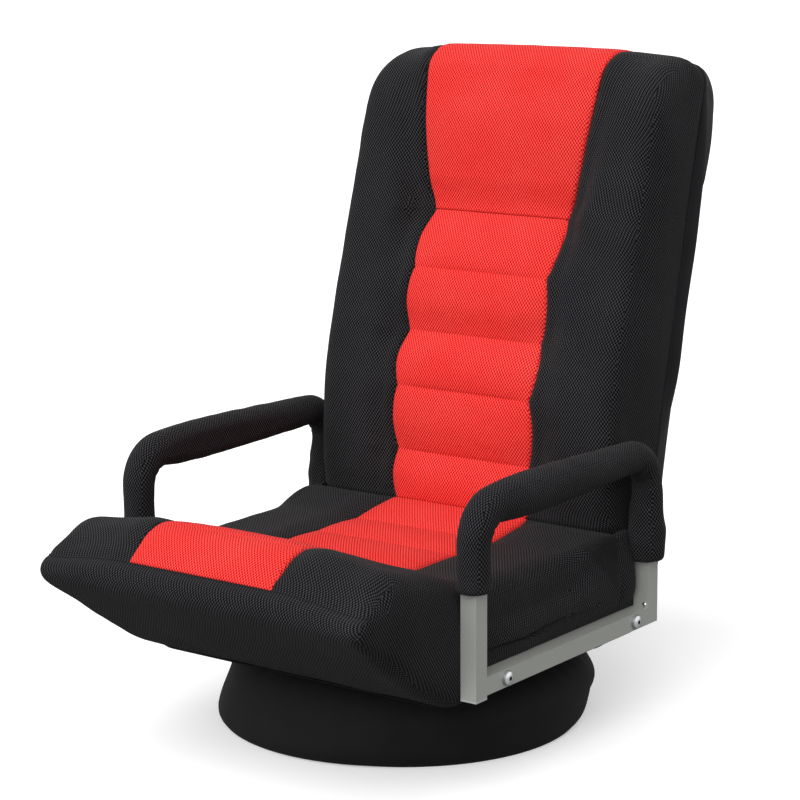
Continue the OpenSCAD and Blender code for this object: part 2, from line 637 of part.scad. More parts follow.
// Places across the wedge: distance from the middle, drop of its top, share of the bolster
wedge_half_places = concat(
    [for (a = [45, 25, 0]) [seat_w / 2 - seat_round + seat_round * sin(a), seat_round * (1 - cos(a)), 1]],
    [[seat_panel_half + rise_top, 0, 1], [seat_panel_half + rise_low, 0, 0.55], [seat_panel_half, 0, 0]]
);
wedge_places = concat(
    [for (p = wedge_half_places) [-p[0], p[1], p[2]]],
    [for (k = [len(wedge_half_places) - 1 : -1 : 0]) wedge_half_places[k]]
);
module crease_wedge() color("#161618") difference() {
    skin([for (s = wedge_places) ring_at(s[0], begun_at(crease_loop(seat_bolster * s[2], s[1]), 3))]);
    hinge_wells();
    panel_hollow(part_of(seat_rail, slope_step - 2, len(seat_rail) - 1));
}
module crease_channel() color("#d8201f") seat_panel(slope_step, len(seat_rail) - 1);

// Backrest, in its own frame

// How far the top is lowered towards the corners
shoulder_w = 0.87;
shoulder_drop_share = 0.03;
function top_at(x) = let (half = back_w / 2, c = half - back_corner, u = min(max(abs(x) - c, 0), back_corner))
    back_l * (1 - shoulder_drop_share * pow(abs(x) / half, 2)) - (back_corner - sqrt(pow(back_corner, 2) - u * u * 0.98));
function lower_top(p, x) = let (w0 = back_l * shoulder_w)
    p[1] < w0 ? p : [p[0], w0 + (p[1] - w0) * (top_at(x) - w0) / (back_l - w0)];
frame_half = back_tube_d / 2 + gap;
roll_arc_r = roll_r + gap;
// A front point drawn in by d where the cushion is deepest, and less where it is thin
function squeeze(p, d, deep) = [p[0] * (1 - d / deep), p[1]];
crease_turn = 90 + atan(-front_at(0, 0)[0] / front_at(0, 0)[1]);
function front_loop(bolster, x, d) = concat(
    [[frame_half, sqrt(pow(roll_arc_r, 2) - pow(frame_half, 2))]],
    arc([0, 0], roll_arc_r, 90, crease_turn, 4),
    [for (k = [0 : len(back_front_shares) - 1]) lower_top(squeeze(front_at(k, bolster), d, back_front), x)],
    [lower_top([frame_half, back_l], x)]
);
// The rear pad meets the foam roll between these two angles
roll_rear_turn = [10, 74];
function rear_loop(x, d) = let (face = frame_half + gap) concat(
    [lower_top([face, back_l * 0.998], x)],
    [for (k = [len(back_rear_shares) - 1 : -1 : 0]) lower_top(
        squeeze([back_rear * back_rear_shares[k][1] - face, back_l * back_rear_shares[k][0]],
            d * min(1, back_l * back_rear_shares[k][0] / back_rear / 3), back_rear) + [face, 0], x)],
    arc([0, 0], roll_arc_r, roll_rear_turn[0], roll_rear_turn[1], 4),
    [[face, sqrt(pow(roll_arc_r, 2) - pow(face, 2))]]
);
// Tubes of the frame and the pocket for them
back_tube_x = gear_x;
top_bar_w = back_l * 0.92;
back_bend = 55;
low_bar_room = 14;
low_bar_w = hinge_well_r + low_bar_room;
mid_bar_w = back_l * 0.48;
tube_room = 3;
tube_start = roll_r + tube_room;

head_step = 10 * panel_steps;
back_rail = rail(smooth([for (k = [0 : len(back_front_shares) - 1]) front_at(k, 0)], panel_steps));
function head_half_at(t) = channel_half + (head_half - channel_half) * pow(min(1, t), 0.8);
// Half width of the panels: scalloped along the channels, then widening to the top
function back_half(i) = i <= head_step ? channel_half + crown_at(back_rail[i][1], back_l * seam_share) / 3
    : head_half_at((i - head_step) / (len(back_rail) - 1 - head_step) * 1.15);
module back_panel(i0, i1) {
    path = part_of(back_rail, i0, i1);
    half = [for (i = [i0 : i1]) back_half(i)];
    crowns = [for (i = [i0 : i1]) i1 == head_step ? crown_at(back_rail[i][1], back_l * seam_share)
        : rib_h * sin(180 * (i - i0) / (i1 - i0))];
    panel(path, half, crowns);
}

seam_margin = 4;
module back_form() skin([for (s = across(back_w / 2, back_round, channel_half + seam_margin))
    ring_at(s[0], front_loop(s[2], s[0], s[1]))]);

module back_cushion() color("#161618") in_back() difference() {
    back_form();
    back_pocket();
    for (s = [0, 1]) mirror([s, 0, 0]) cross_pin(hinge_well_x, pocket_x, 0, 0, hinge_well_r);
    hollow(back_rail, [for (i = [0 : len(back_rail) - 1]) back_half(i)]);
}
// The hollow for the frame, open to the rear
module back_pocket() {
    half = back_tube_x + back_tube_d / 2 + over;
    deep = back_tube_d / 2 + belt_t + 2 * gap;
    translate([-half, -deep, roll_r - over]) cube([2 * half, deep + frame_half + over, top_bar_w + back_tube_d - roll_r]);
}

module back_channel_panel() color("#d8201f") in_back() back_panel(0, head_step);
module back_head_panel() color("#d8201f") in_back() back_panel(head_step, len(back_rail) - 1);
module back_rear_pad() color("#18181a") in_back() difference() {
    skin([for (s = across(back_w / 2, back_rear / 3, channel_half))
        ring_at(s[0], begun_at(rear_loop(s[0], s[1]), 3))]);
    for (s = [0, 1]) mirror([s, 0, 0]) cross_pin(hinge_well_x, pocket_x, 0, 0, hinge_well_r);
}

module back_lower_roll() color("#161618") cross_pin(-hinge_well_x + over, hinge_well_x - over, hinge_y, hinge_z, roll_r - gap);

module round_tube(h) difference() {
    cylinder(h = h, d = back_tube_d);
    translate([0, 0, -over]) cylinder(h = h + 2 * over, d = back_tube_d - 2 * tube_wall);
}
module ring_2d() difference() {
    circle(d = back_tube_d);
    circle(d = back_tube_d - 2 * tube_wall);
}
module back_frame() color("#303133") in_back() {
    rise = top_bar_w - back_bend;
    difference() {
        union() {
            for (s = [-1, 1]) translate([s * back_tube_x, 0, tube_start]) cylinder(h = rise - tube_start, d = back_tube_d);
            for (w = [low_bar_w, mid_bar_w]) cross_pin(-back_tube_x, back_tube_x, 0, w, back_tube_d / 2);
        }
        for (s = [-1, 1]) translate([s * back_tube_x, 0, tube_start - over])
            cylinder(h = rise - tube_start + 2 * over, d = back_tube_d - 2 * tube_wall);
    }
    for (s = [0, 1]) mirror([s, 0, 0]) translate([back_tube_x - back_bend, 0, rise]) rotate([90, 0, 0])
        rotate_extrude(angle = 90) translate([back_bend, 0]) ring_2d();
    translate([-back_tube_x + back_bend, 0, top_bar_w]) rotate([0, 90, 0]) round_tube(2 * (back_tube_x - back_bend));
}
module back_belts() color("#4a4a4c") in_back() for (t = [0.22, 0.34, 0.6, 0.72])
    translate([-back_tube_x, -back_tube_d / 2 - gap / 3 - belt_t, back_l * t - belt_w / 2])
        cube([2 * back_tube_x, belt_t, belt_w]);

// Ratchet hinges

function polar(r, a) = r * [cos(a), sin(a)];
tongue_w = 14;
tongue_reach = 34;
tongue_end = roll_r + tongue_reach;
module tooth_cut(a) polygon([polar(tooth_root, a), polar(tooth_r + over, a),
    polar(tooth_r + over, a - tooth_pitch * 0.97), polar(tooth_r + gap, a - tooth_pitch * 0.97)]);
module ratchet_profile() {
    first = pawl_angle - tooth_pitch;
    difference() {
        circle(tooth_r);
        for (k = [1 : tooth_count - 1]) tooth_cut(first + k * tooth_pitch);
        // Ahead of the first lock the rim is cut back, so that the backrest folds freely
        difference() {
            polygon(concat([[0, 0]], [for (k = [4 : -1 : 0]) polar(2 * tooth_r, first - k * tooth_pitch)]));
            circle(tooth_root);
        }
    }
}
module ratchet_plate(name) color("#9a9c9f") side(name) difference() {
    union() {
        translate([0, hinge_y, hinge_z]) side_plate(gear_x - gear_t / 2, gear_t) ratchet_profile();
        in_back() translate([gear_x - gear_t / 2, -tongue_w / 2, 0]) cube([gear_t, tongue_w, tongue_end]);
    }
    cross_pin(gear_x - gear_t, gear_x + gear_t, hinge_y, hinge_z, hinge_pin_d / 2 + run);
}

module housing_outline() {
    hull() {
        translate([hinge_y, hinge_z]) circle(housing_r, $fn = 48);
        translate([pawl_y, pawl_z]) circle(pawl_hub_r + housing_rim, $fn = 32);
        translate([foot_y[0], seat_tube_z - seat_tube / 2]) square([foot_y[1] - foot_y[0], seat_tube]);
    }
}
module hinge_housing(name) color("#85878a") side(name) difference() {
    union() {
        for (x = [cheek_in_x, cheek_out_x - cheek_t]) side_plate(x, cheek_t) housing_outline();
        translate([cheek_in_x, foot_y[0], seat_tube_z - seat_tube / 2])
            cube([cheek_out_x - cheek_in_x, foot_y[1] - foot_y[0], cheek_t]);
    }
    cross_pin(cheek_in_x - over, cheek_out_x + over, hinge_y, hinge_z, hinge_pin_d / 2 + fit / 5);
    cross_pin(cheek_in_x - over, cheek_out_x + over, pawl_y, pawl_z, pawl_pin_d / 2 + fit / 5);
}
pin_head_t = 2;
pin_head_rim = 3;
module headed_pin(y, z, r) {
    head = r + pin_head_rim;
    cross_pin(cheek_in_x - pin_head_t - fit / 5, cheek_in_x - fit / 5, y, z, head);
    cross_pin(cheek_in_x - fit, cheek_out_x + pin_head_t, y, z, r);
    cross_pin(cheek_out_x + fit / 5, cheek_out_x + pin_head_t, y, z, head);
}
module hinge_pin(name) color("#b9bbbe") side(name) headed_pin(hinge_y, hinge_z, hinge_pin_d / 2);
module pawl_pin(name) color("#b9bbbe") side(name) headed_pin(pawl_y, pawl_z, pawl_pin_d / 2);

// The pawl is a strut: it lies along the push of the tooth that it stops
nib = 0.7;
pawl_neck = 0.9;
module pawl_arm() {
    hub = polar(pawl_reach, pawl_dir);
    along = (polar(pawl_tip_r, pawl_angle) - hub) / norm(polar(pawl_tip_r, pawl_angle) - hub);
    out = [along[1], -along[0]];
    polygon([
        polar(tooth_root + nib, pawl_angle - 1), polar(tooth_r + 3 * over / 2, pawl_angle - 1),
        hub + out * pawl_hub_r * pawl_neck, hub - out * pawl_hub_r * pawl_neck,
        polar(tooth_r + nib, pawl_angle - tooth_pitch)
    ]);
}
module pawl(name) color("#a7a9ac") side(name) difference() {
    translate([0, hinge_y, hinge_z]) {
        side_plate(gear_x - pawl_t / 2, pawl_t) pawl_arm();
        side_plate(gear_x - pawl_t / 2, pawl_t) translate(polar(pawl_reach, pawl_dir)) circle(pawl_hub_r);
    }
    cross_pin(gear_x - gear_t, gear_x + gear_t, pawl_y, pawl_z, pawl_pin_d / 2 + run);
}

// A leaf spring from the floor of the housing to the back of the pawl
leaf_t = 0.6;
leaf_front = 4;
leaf_rear = 8;
leaf_room = 2;
module pawl_spring(name) color("#6f7173") side(name) {
    floor_z = seat_tube_z - seat_tube / 2 + cheek_t;
    tip = [hinge_y, hinge_z] + polar(tooth_r + 3 * over / 2 + leaf_room, pawl_angle - 6);
    side_plate(gear_x - gear_t / 3, gear_t * 2 / 3) polygon([
        [foot_y[0] + leaf_front, floor_z], [foot_y[1] - leaf_rear, floor_z], tip + [leaf_t, 0], tip,
        [foot_y[1] - leaf_rear - leaf_t * 3, floor_z + leaf_t], [foot_y[0] + leaf_front, floor_z + leaf_t]
    ]);
}

// Arms

rail_z = seat_tube_z;
cap_t = 2;
post_drop = 5;
post_low = rail_z - arm_tube / 2 - post_drop;
module arm_square(w, bore) difference() {
    square(w, center = true);
    square(bore, center = true);
}
// The hoop's path: up the front post, along the top and down the rear post
module hoop(front_z, rear_z) {
    translate([arm_x, -arm_front, front_z]) linear_extrude(arm_h - arm_bend - front_z) children();
    translate([arm_x, arm_rear, rear_z]) linear_extrude(arm_h - arm_bend - rear_z) children();
    translate([arm_x, -arm_front + arm_bend, arm_h]) rotate([-90, 0, 0])
        linear_extrude(arm_front + arm_rear - 2 * arm_bend) children();
    for (f = [0, 1]) translate([arm_x, f == 0 ? -arm_front + arm_bend : arm_rear - arm_bend, arm_h - arm_bend])
        mirror([0, 1 - f, 0]) rotate([90, 0, 90]) rotate_extrude(angle = 90) translate([arm_bend, 0]) children();
}
module arm_hoop(name) color("#8f9190") side(name) difference() {
    hoop(post_low + cap_t, rail_z - arm_tube / 2) arm_square(arm_tube, arm_tube - 2 * tube_wall);
    screw_place() cylinder(h = arm_tube, r = screw_r / 2 + fit / 5, center = true);
}
module arm_rail(name) color("#8f9190") side(name) difference() {
    translate([arm_x, -arm_front + arm_tube / 2, rail_z]) rotate([-90, 0, 0])
        linear_extrude(arm_front + arm_rear - arm_tube) arm_square(arm_tube, arm_tube - 2 * tube_wall);
    for (y = [-arm_bolt_front, arm_bolt_rear])
        cross_pin(arm_x - arm_tube, arm_x + arm_tube, y, rail_z, arm_bolt_d / 2 + fit);
}
// The sleeve's stations: place on the hoop's path, heading and radius
function arm_bend_at(y, s, a) = [y + s * arm_bend * (1 - cos(a)), arm_h - arm_bend * (1 - sin(a))];
arm_run = arm_front + arm_rear - 2 * arm_bend;
arm_taper_shares = [[0, 0.15], [0.08, 0.75], [0.2, 1], [0.45, 0.95], [0.62, 0.7], [0.8, 0.3], [1, 0.08]];
arm_stations = concat(
    [for (z = [pad_hem_front, arm_h - arm_bend - over]) [-arm_front, z, 90, pad_front_r]],
    [for (a = [0 : 22.5 : 67.5]) concat(arm_bend_at(-arm_front, 1, a), [90 - a, pad_front_r])],
    [for (t = arm_taper_shares) [-arm_front + arm_bend + arm_run * t[0], arm_h, 0,
        (t[0] < 0.3 ? pad_front_r : pad_rear_r) + (pad_r - (t[0] < 0.3 ? pad_front_r : pad_rear_r)) * t[1]]],
    [for (a = [67.5 : -22.5 : 0]) concat(arm_bend_at(arm_rear, -1, a), [a - 90, pad_rear_r])],
    [for (z = [arm_h - arm_bend - over, pad_hem_rear]) [arm_rear, z, -90, pad_rear_r]]
);
sleeve_sides = 20;
module arm_sleeve(name) color("#1a1a1c") side(name) difference() {
    skin([for (s = arm_stations) [for (k = [0 : sleeve_sides - 1]) let (a = 360 * k / sleeve_sides)
        [arm_x + s[3] * cos(a), s[0] - s[3] * sin(a) * sin(s[2]), s[1] + s[3] * sin(a) * cos(s[2])]]]);
    hoop(pad_hem_front - over, pad_hem_rear - over) square(arm_tube + gap, center = true);
}
arm_head_r = arm_bolt_d;
arm_head_h = arm_bolt_d * 0.55;
washer_t = 1.5;
// A domed bolt with its washer, drawn round its own axis
module arm_bolt() {
    inner = arm_x + arm_tube / 2 - (seat_tube_x - seat_tube / 2) + nut_h + over;
    dome = 35;
    dome_r = arm_head_r / sin(dome);
    rotate_extrude() polygon(concat(
        [[0, -inner], [arm_bolt_d / 2, -inner], [arm_bolt_d / 2, fit / 5], [arm_head_r + washer_t, fit / 5],
        [arm_head_r + washer_t, washer_t], [arm_head_r, washer_t]],
        [for (k = [4 : -1 : 0]) [dome_r * sin(dome * k / 4),
            washer_t + arm_head_h - dome_r * (1 - cos(dome * k / 4))]]
    ));
}
module arm_bolts(name) color("#d4d6d8") side(name) for (y = [-arm_bolt_front, arm_bolt_rear])
    translate([arm_x + arm_tube / 2, y, rail_z]) rotate([0, 90, 0]) difference() {
        arm_bolt();
        translate([0, 0, washer_t + arm_head_h / 3]) cylinder(h = arm_head_h, r = arm_bolt_d * 0.3, $fn = 6);
    }
module arm_nuts(name) color("#b9bbbe") side(name) for (y = [-arm_bolt_front, arm_bolt_rear]) difference() {
    inner = seat_tube_x - seat_tube / 2 - fit / 5;
    translate([inner - nut_h, y, rail_z]) rotate([0, 90, 0]) cylinder(h = nut_h, r = arm_bolt_d * 0.85, $fn = 6);
    cross_pin(inner - nut_h - over, inner + over, y, rail_z, arm_bolt_d / 2 + fit / 5);
}
module arm_spacers(name) color("#9fa1a4") side(name) for (y = [-arm_bolt_front, arm_bolt_rear]) difference() {
    cross_pin(seat_tube_x + seat_tube / 2, arm_x - arm_tube / 2, y, rail_z, spacer_r);
    cross_pin(seat_tube_x, arm_x, y, rail_z, arm_bolt_d / 2 + fit);
}
module arm_caps(name) color("#c9cbca") side(name) translate([arm_x - arm_tube / 2, -arm_front - arm_tube / 2, post_low])
    cube([arm_tube, arm_tube, cap_t]);
screw_r = 3.2;
module screw_place() translate([arm_x + arm_tube / 4, arm_rear - arm_tube / 2, rail_z + arm_tube / 2 + screw_r])
    rotate([90, 0, 0]) children();
module arm_screw(name) color("#d4d6d8") side(name) screw_place() rotate_extrude() polygon([
    [0, -tube_wall - over], [screw_r / 2, -tube_wall - over], [screw_r / 2, fit / 5], [screw_r, fit / 5],
    [screw_r * 0.85, screw_r * 0.35], [screw_r * 0.5, screw_r * 0.55], [0, screw_r * 0.6]
]);

base_floor_pad();
base_frame();
base_foam();
base_cover();
swivel_lower_plate();
swivel_balls();
swivel_ball_cage();
swivel_king_pin();
base_plate_bolts();
swivel_upper_plate();
seat_plate_bolts();
seat_frame();
seat_crossbars();
seat_belts();
seat_bottom_cover();
seat_cushion();
seat_side_blocks();
seat_front_panel();
seat_channel_panel();
crease_wedge();
crease_channel();
arm_hoop("left");  // left_arm_hoop
arm_rail("left");  // left_arm_rail
arm_sleeve("left");  // left_arm_sleeve
arm_bolts("left");  // left_arm_bolts
arm_nuts("left");  // left_arm_nuts
arm_spacers("left");  // left_arm_spacers
arm_caps("left");  // left_arm_caps
arm_screw("left");  // left_arm_screw
arm_hoop("right");  // right_arm_hoop
arm_rail("right");  // right_arm_rail
arm_sleeve("right");  // right_arm_sleeve
arm_bolts("right");  // right_arm_bolts
arm_nuts("right");  // right_arm_nuts
arm_spacers("right");  // right_arm_spacers
arm_caps("right");  // right_arm_caps
arm_screw("right");  // right_arm_screw
hinge_housing("left");  // left_hinge_housing
hinge_pin("left");  // left_hinge_pin
pawl_pin("left");  // left_pawl_pin
pawl_spring("left");  // left_pawl_spring
pawl("left");  // left_pawl
ratchet_plate("left");  // left_ratchet_plate
hinge_housing("right");  // right_hinge_housing
hinge_pin("right");  // right_hinge_pin
pawl_pin("right");  // right_pawl_pin
pawl_spring("right");  // right_pawl_spring
pawl("right");  // right_pawl
ratchet_plate("right");  // right_ratchet_plate
back_frame();
back_belts();
back_cushion();
back_rear_pad();
back_lower_roll();
back_channel_panel();
back_head_panel();
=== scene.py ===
# %% [markdown]
# # Dressing a swivel floor chair
# The chair comes from the construction model as metal parts that are right and foam
# solids that are only roughly right. This lesson keeps the metal, gives it finishes,
# and makes the cushions, covers and sleeves anew as soft, stitched cloth.

# %% Opening the frame
import json
import math
import bmesh
import bpy
from mathutils import Matrix, Vector, noise
from mathutils.bvhtree import BVHTree


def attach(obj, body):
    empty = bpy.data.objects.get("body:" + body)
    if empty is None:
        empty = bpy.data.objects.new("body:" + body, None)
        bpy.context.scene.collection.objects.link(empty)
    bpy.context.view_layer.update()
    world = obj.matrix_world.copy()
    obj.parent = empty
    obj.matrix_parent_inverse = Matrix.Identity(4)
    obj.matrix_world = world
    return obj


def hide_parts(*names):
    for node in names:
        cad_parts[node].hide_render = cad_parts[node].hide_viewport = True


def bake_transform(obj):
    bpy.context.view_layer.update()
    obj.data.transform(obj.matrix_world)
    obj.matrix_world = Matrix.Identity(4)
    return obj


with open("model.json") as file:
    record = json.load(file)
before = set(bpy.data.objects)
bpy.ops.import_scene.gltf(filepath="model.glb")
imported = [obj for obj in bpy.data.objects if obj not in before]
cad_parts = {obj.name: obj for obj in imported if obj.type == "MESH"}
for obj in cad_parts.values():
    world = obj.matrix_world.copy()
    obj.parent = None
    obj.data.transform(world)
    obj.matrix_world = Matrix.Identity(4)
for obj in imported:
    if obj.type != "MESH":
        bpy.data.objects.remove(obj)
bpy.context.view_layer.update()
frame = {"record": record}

MM = 0.001

# %% [markdown]
# ## Small helpers
# Curves on a cushion come from a few measured points. A smooth curve through them
# could be a spline object, but plain interpolation keeps each point at a known place,
# and the same function then serves outlines, tables and paths.

# %% Smooth curves through measured points
def blend_at(a, b, c, d, t):
    """Catmull-Rom value between b and c."""
    return 0.5 * (2 * b + (c - a) * t + (2 * a - 5 * b + 4 * c - d) * t * t
                  + (3 * b - a - 3 * c + d) * t ** 3)


def smooth_path(points, step):
    """Points about one step apart on a smooth curve through the given ones."""
    points = [Vector(p) for p in points]
    padded = [2 * points[0] - points[1]] + points + [2 * points[-1] - points[-2]]
    out = []
    for i in range(1, len(padded) - 2):
        parts = max(1, round((padded[i + 1] - padded[i]).length / step))
        out += [blend_at(*padded[i - 1:i + 3], k / parts) for k in range(parts)]
    return out + [points[-1]]


def ease(t):
    """Slow at both ends: 0 up to t = 0, 1 from t = 1 on."""
    t = min(max(t, 0), 1)
    return t * t * (3 - 2 * t)


def mix(a, b, t):
    return a + (b - a) * t


def table(rows, w):
    """Smooth value of a table of (place, value) rows at w."""
    if w <= rows[0][0]:
        return rows[0][1]
    for i in range(len(rows) - 1):
        if w <= rows[i + 1][0]:
            before, after = rows[max(i - 1, 0)][1], rows[min(i + 2, len(rows) - 1)][1]
            share = (w - rows[i][0]) / (rows[i + 1][0] - rows[i][0])
            return blend_at(before, rows[i][1], rows[i + 1][1], after, share)
    return rows[-1][1]


# %% [markdown]
# ## Skins over rings
# A cushion cover is a tube of cloth that changes its outline as it goes. One way is to
# push a sphere or cube into shape; here a ring of vertices is extruded from place to
# place, because every ring can then follow a measured outline.

# %% Extruding a ring from place to place
def skin(rings, lengths):
    """A closed bmesh over rings of points; lengths gives each point's place on flat cloth."""
    bm = bmesh.new()
    count = len(rings[0])
    cloth = bm.verts.layers.float_vector.new("cloth")
    line = [bm.verts.new(p) for p in rings[0]]
    edges = [bm.edges.new((line[i], line[(i + 1) % count])) for i in range(count)]
    ends = [list(edges)]
    for vert, at in zip(line, lengths[0]):
        vert[cloth] = (at[0], at[1], 0)
    for ring, row in zip(rings[1:], lengths[1:]):
        made = bmesh.ops.extrude_edge_only(bm, edges=edges)["geom"]
        fresh = {g for g in made if isinstance(g, bmesh.types.BMVert)}
        line = [next(e.other_vert(v) for e in v.link_edges if e.other_vert(v) in fresh) for v in line]
        edges = [next(e for e in line[i].link_edges if e.other_vert(line[i]) is line[(i + 1) % count])
                 for i in range(count)]
        for vert, point, at in zip(line, ring, row):
            vert.co = point
            vert[cloth] = (at[0], at[1], 0)
    ends.append(list(edges))
    for loop in ends:
        bmesh.ops.triangle_fill(bm, use_beauty=True, edges=loop)
    bmesh.ops.recalc_face_normals(bm, faces=bm.faces)
    return bm


def crumple(bm, depth, size, seed, stretch=(1, 1, 1), keep=None):
    """Uneven cloth: each vertex moves along its normal by smooth noise, size in metres."""
    bm.normal_update()
    for vert in bm.verts:
        place = Vector(vert.co[k] * stretch[k] / size + seed for k in range(3))
        vert.co += vert.normal * depth * noise.noise(place) * (keep(vert.co) if keep else 1)


# %% [markdown]
# ## Across the recline hinge
# Where the seat's cover meets the backrest, it stretches as the backrest moves.
# It could be cut in two there, but a gap would open, so it stays one piece. A line is
# set square to the face on which the two cushions touch, and beside the crease the
# weave fades across it.

# %% The blend from seat to backrest
HINGE = Vector((178.0, 165.0))
FACE_ANGLE = math.radians(127.1)
BLEND_FAR, BLEND_NEAR = 58, 2
blend_way = Vector((0, math.sin(FACE_ANGLE), -math.cos(FACE_ANGLE)))
hinge_point = Vector((0, HINGE[0], HINGE[1])) * MM
BLEND_START = hinge_point - blend_way * BLEND_FAR * MM
BLEND_END = hinge_point - blend_way * BLEND_NEAR * MM
print("the crease stretches over", BLEND_FAR - BLEND_NEAR, "mm")

# %% [markdown]
# ## From mesh to piece
# Every soft piece needs the same last steps: a cloth layout for the weave, smooth
# shading, a finish, and the body that it moves with. They could be written out for each
# piece; one function keeps them alike.

# %% Turning a bmesh into a finished piece
# A face counts as a side when X is more than this share of its normal
FROM_SIDE = 0.72


def piece(bm, name, material, body, smooth_level=0):
    """An object from the bmesh, moving with its body; a piece on "crease" keeps its place and goes to
    no body.
    """
    cloth = bm.verts.layers.float_vector.get("cloth")
    layout = bm.loops.layers.uv.new("weave")
    bm.normal_update()
    for face in bm.faces:
        face.smooth = True
        from_side = abs(face.normal.x) > FROM_SIDE
        for loop in face.loops:
            # A side face takes its place on the cloth straight from its place in the chair
            loop[layout].uv = loop.vert.co.yz if from_side or not cloth else loop.vert[cloth].xy
    mesh = bpy.data.meshes.new(name)
    bm.to_mesh(mesh)
    bm.free()
    made = bpy.data.objects.new(name, mesh)
    bpy.context.collection.objects.link(made)
    mesh.materials.append(material)
    if smooth_level:
        finer = made.modifiers.new("finer", "SUBSURF")
        finer.levels = finer.render_levels = smooth_level
    if body == "crease":
        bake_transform(made)
    else:
        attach(made, body)
    print(name, len(mesh.vertices), "vertices")
    return made


def cloth_lengths(rings):
    """Place on the flat cloth for each point: across the rings, along the middle ring."""
    middle = rings[len(rings) // 2]
    run, along = 0.0, []
    for i, point in enumerate(middle):
        along.append(run)
        run += (middle[(i + 1) % len(middle)] - point).length
    across = [0.0] * len(middle)
    rows = []
    for j, ring in enumerate(rings):
        if j:
            across = [across[i] + (ring[i] - rings[j - 1][i]).length for i in range(len(ring))]
        rows.append(list(zip(across, along)))
    return rows


# %% [markdown]
# ## Materials
# Each finish is named for what the real one is. A node tree could be clicked together in
# the editor; in code, one function turns sRGB hex values to linear, and one small
# function adds a node with its settings and links.

# %% Colour and node helpers
def hexed(code):
    """Linear colour of an sRGB hex value."""
    parts = [int(code[k:k + 2], 16) / 255 for k in (1, 3, 5)]
    return tuple(p / 12.92 if p <= 0.04045 else ((p + 0.055) / 1.055) ** 2.4 for p in parts) + (1.0,)


def add(tree, kind, inputs=None, **settings):
    """Adds a node; inputs are values, sockets, or nodes whose first output is taken."""
    node = tree.nodes.new(kind)
    for key, value in settings.items():
        setattr(node, key, value)
    for key, value in (inputs or {}).items():
        if isinstance(value, bpy.types.Node):
            value = value.outputs[0]
        if isinstance(value, bpy.types.NodeSocket):
            tree.links.new(value, node.inputs[key])
        else:
            node.inputs[key].default_value = value
    return node


def new_material(name):
    made = bpy.data.materials.new(name)
    made.use_nodes = True
    made.node_tree.nodes.clear()
    return made, made.node_tree


def weave_pattern(tree, across, along, wave):
    """Product of two waves on the cloth layout, with these distances between crests in mm."""
    flat = add(tree, "ShaderNodeSeparateXYZ", {0: add(tree, "ShaderNodeUVMap", uv_map="weave")})
    waves = []
    for k, gap in enumerate((across, along)):
        turns = add(tree, "ShaderNodeMath", {0: flat.outputs[k], 1: math.tau / (gap * MM)},
                    operation="MULTIPLY")
        waves.append(add(tree, "ShaderNodeMath", {0: turns}, operation=wave))
    return add(tree, "ShaderNodeMath", {0: waves[0], 1: waves[1]}, operation="MULTIPLY")


# %% [markdown]
# ## Air mesh
# The cushions are covered with a thick knitted spacer mesh: rows of small staggered
# loops with a hole between each four. A photograph of cloth could be tiled over them;
# a product of two waves needs no picture and stays sharp. Its loops are 4.2 mm apart
# across and 5.8 mm along, a coarse mesh's real size. The holes go deep and dark.

# %% Air-mesh cloth
LOOP_ACROSS, LOOP_ALONG = 4.2, 5.8
LOOP_HEIGHT = 0.7


def air_mesh(name, loop_colour, hole_colour, shade_colour, sheen, low=-0.25, high=0.75):
    """Knitted mesh; where its pattern is below low it is all hole, above high all loop."""
    made, tree = new_material(name)
    pattern = weave_pattern(tree, LOOP_ACROSS, LOOP_ALONG, "COSINE")
    # The cover's sides stretch when the backrest lies flat, and the weave is faint there
    stretch = add(tree, "ShaderNodeAttribute", attribute_name="stretched").outputs["Fac"]
    left = add(tree, "ShaderNodeMath", {0: 1.0, 1: stretch}, operation="SUBTRACT")
    loops = add(tree, "ShaderNodeMath", {0: pattern, 1: left}, operation="MULTIPLY")
    # Loose fibres blur each loop, and broad patches of wear change its tone
    where = add(tree, "ShaderNodeTexCoord").outputs["Object"]
    patches = add(tree, "ShaderNodeTexNoise", {"Vector": where, "Scale": 14.0, "Detail": 4.0})
    fuzz = add(tree, "ShaderNodeTexNoise", {"Vector": where, "Scale": 900.0, "Detail": 2.0})
    evened = add(tree, "ShaderNodeMath", {0: fuzz, 1: 0.5}, operation="SUBTRACT")
    fibres = add(tree, "ShaderNodeMath", {0: evened, 1: 0.9}, operation="MULTIPLY")
    worn = add(tree, "ShaderNodeMath", {0: loops, 1: fibres}, operation="ADD")
    grade = add(tree, "ShaderNodeMapRange", {0: worn, 1: low, 2: high, 3: 0.0, 4: 1.0})
    tone = add(tree, "ShaderNodeMix", {0: patches, 6: hexed(shade_colour), 7: hexed(loop_colour)},
               data_type="RGBA").outputs[2]
    colour = add(tree, "ShaderNodeMix", {0: grade, 6: hexed(hole_colour), 7: tone},
                 data_type="RGBA").outputs[2]
    relief = add(tree, "ShaderNodeBump", {
        "Height": worn, "Strength": 0.55, "Distance": LOOP_HEIGHT * MM})
    cloth = add(tree, "ShaderNodeBsdfPrincipled", {
        "Base Color": colour, "Normal": relief, "Roughness": 0.8,
        "Specular IOR Level": 0.05, "Sheen Weight": sheen, "Sheen Roughness": 0.45})
    add(tree, "ShaderNodeOutputMaterial", {"Surface": cloth})
    return made


# Bright red loops over deep red holes: a soft, full red with a fine grain
RED_MESH = air_mesh("red_air_mesh", "#ff5a54", "#a50609", "#ff3f39", 0.02, low=-0.5, high=0.55)
# Dark grey loops over black holes: black cloth that shows its knit as light dots
BLACK_MESH = air_mesh("black_air_mesh", "#454548", "#010101", "#343437", 0.03)
print("air mesh: loops", LOOP_ACROSS, "by", LOOP_ALONG, "mm, staggered")

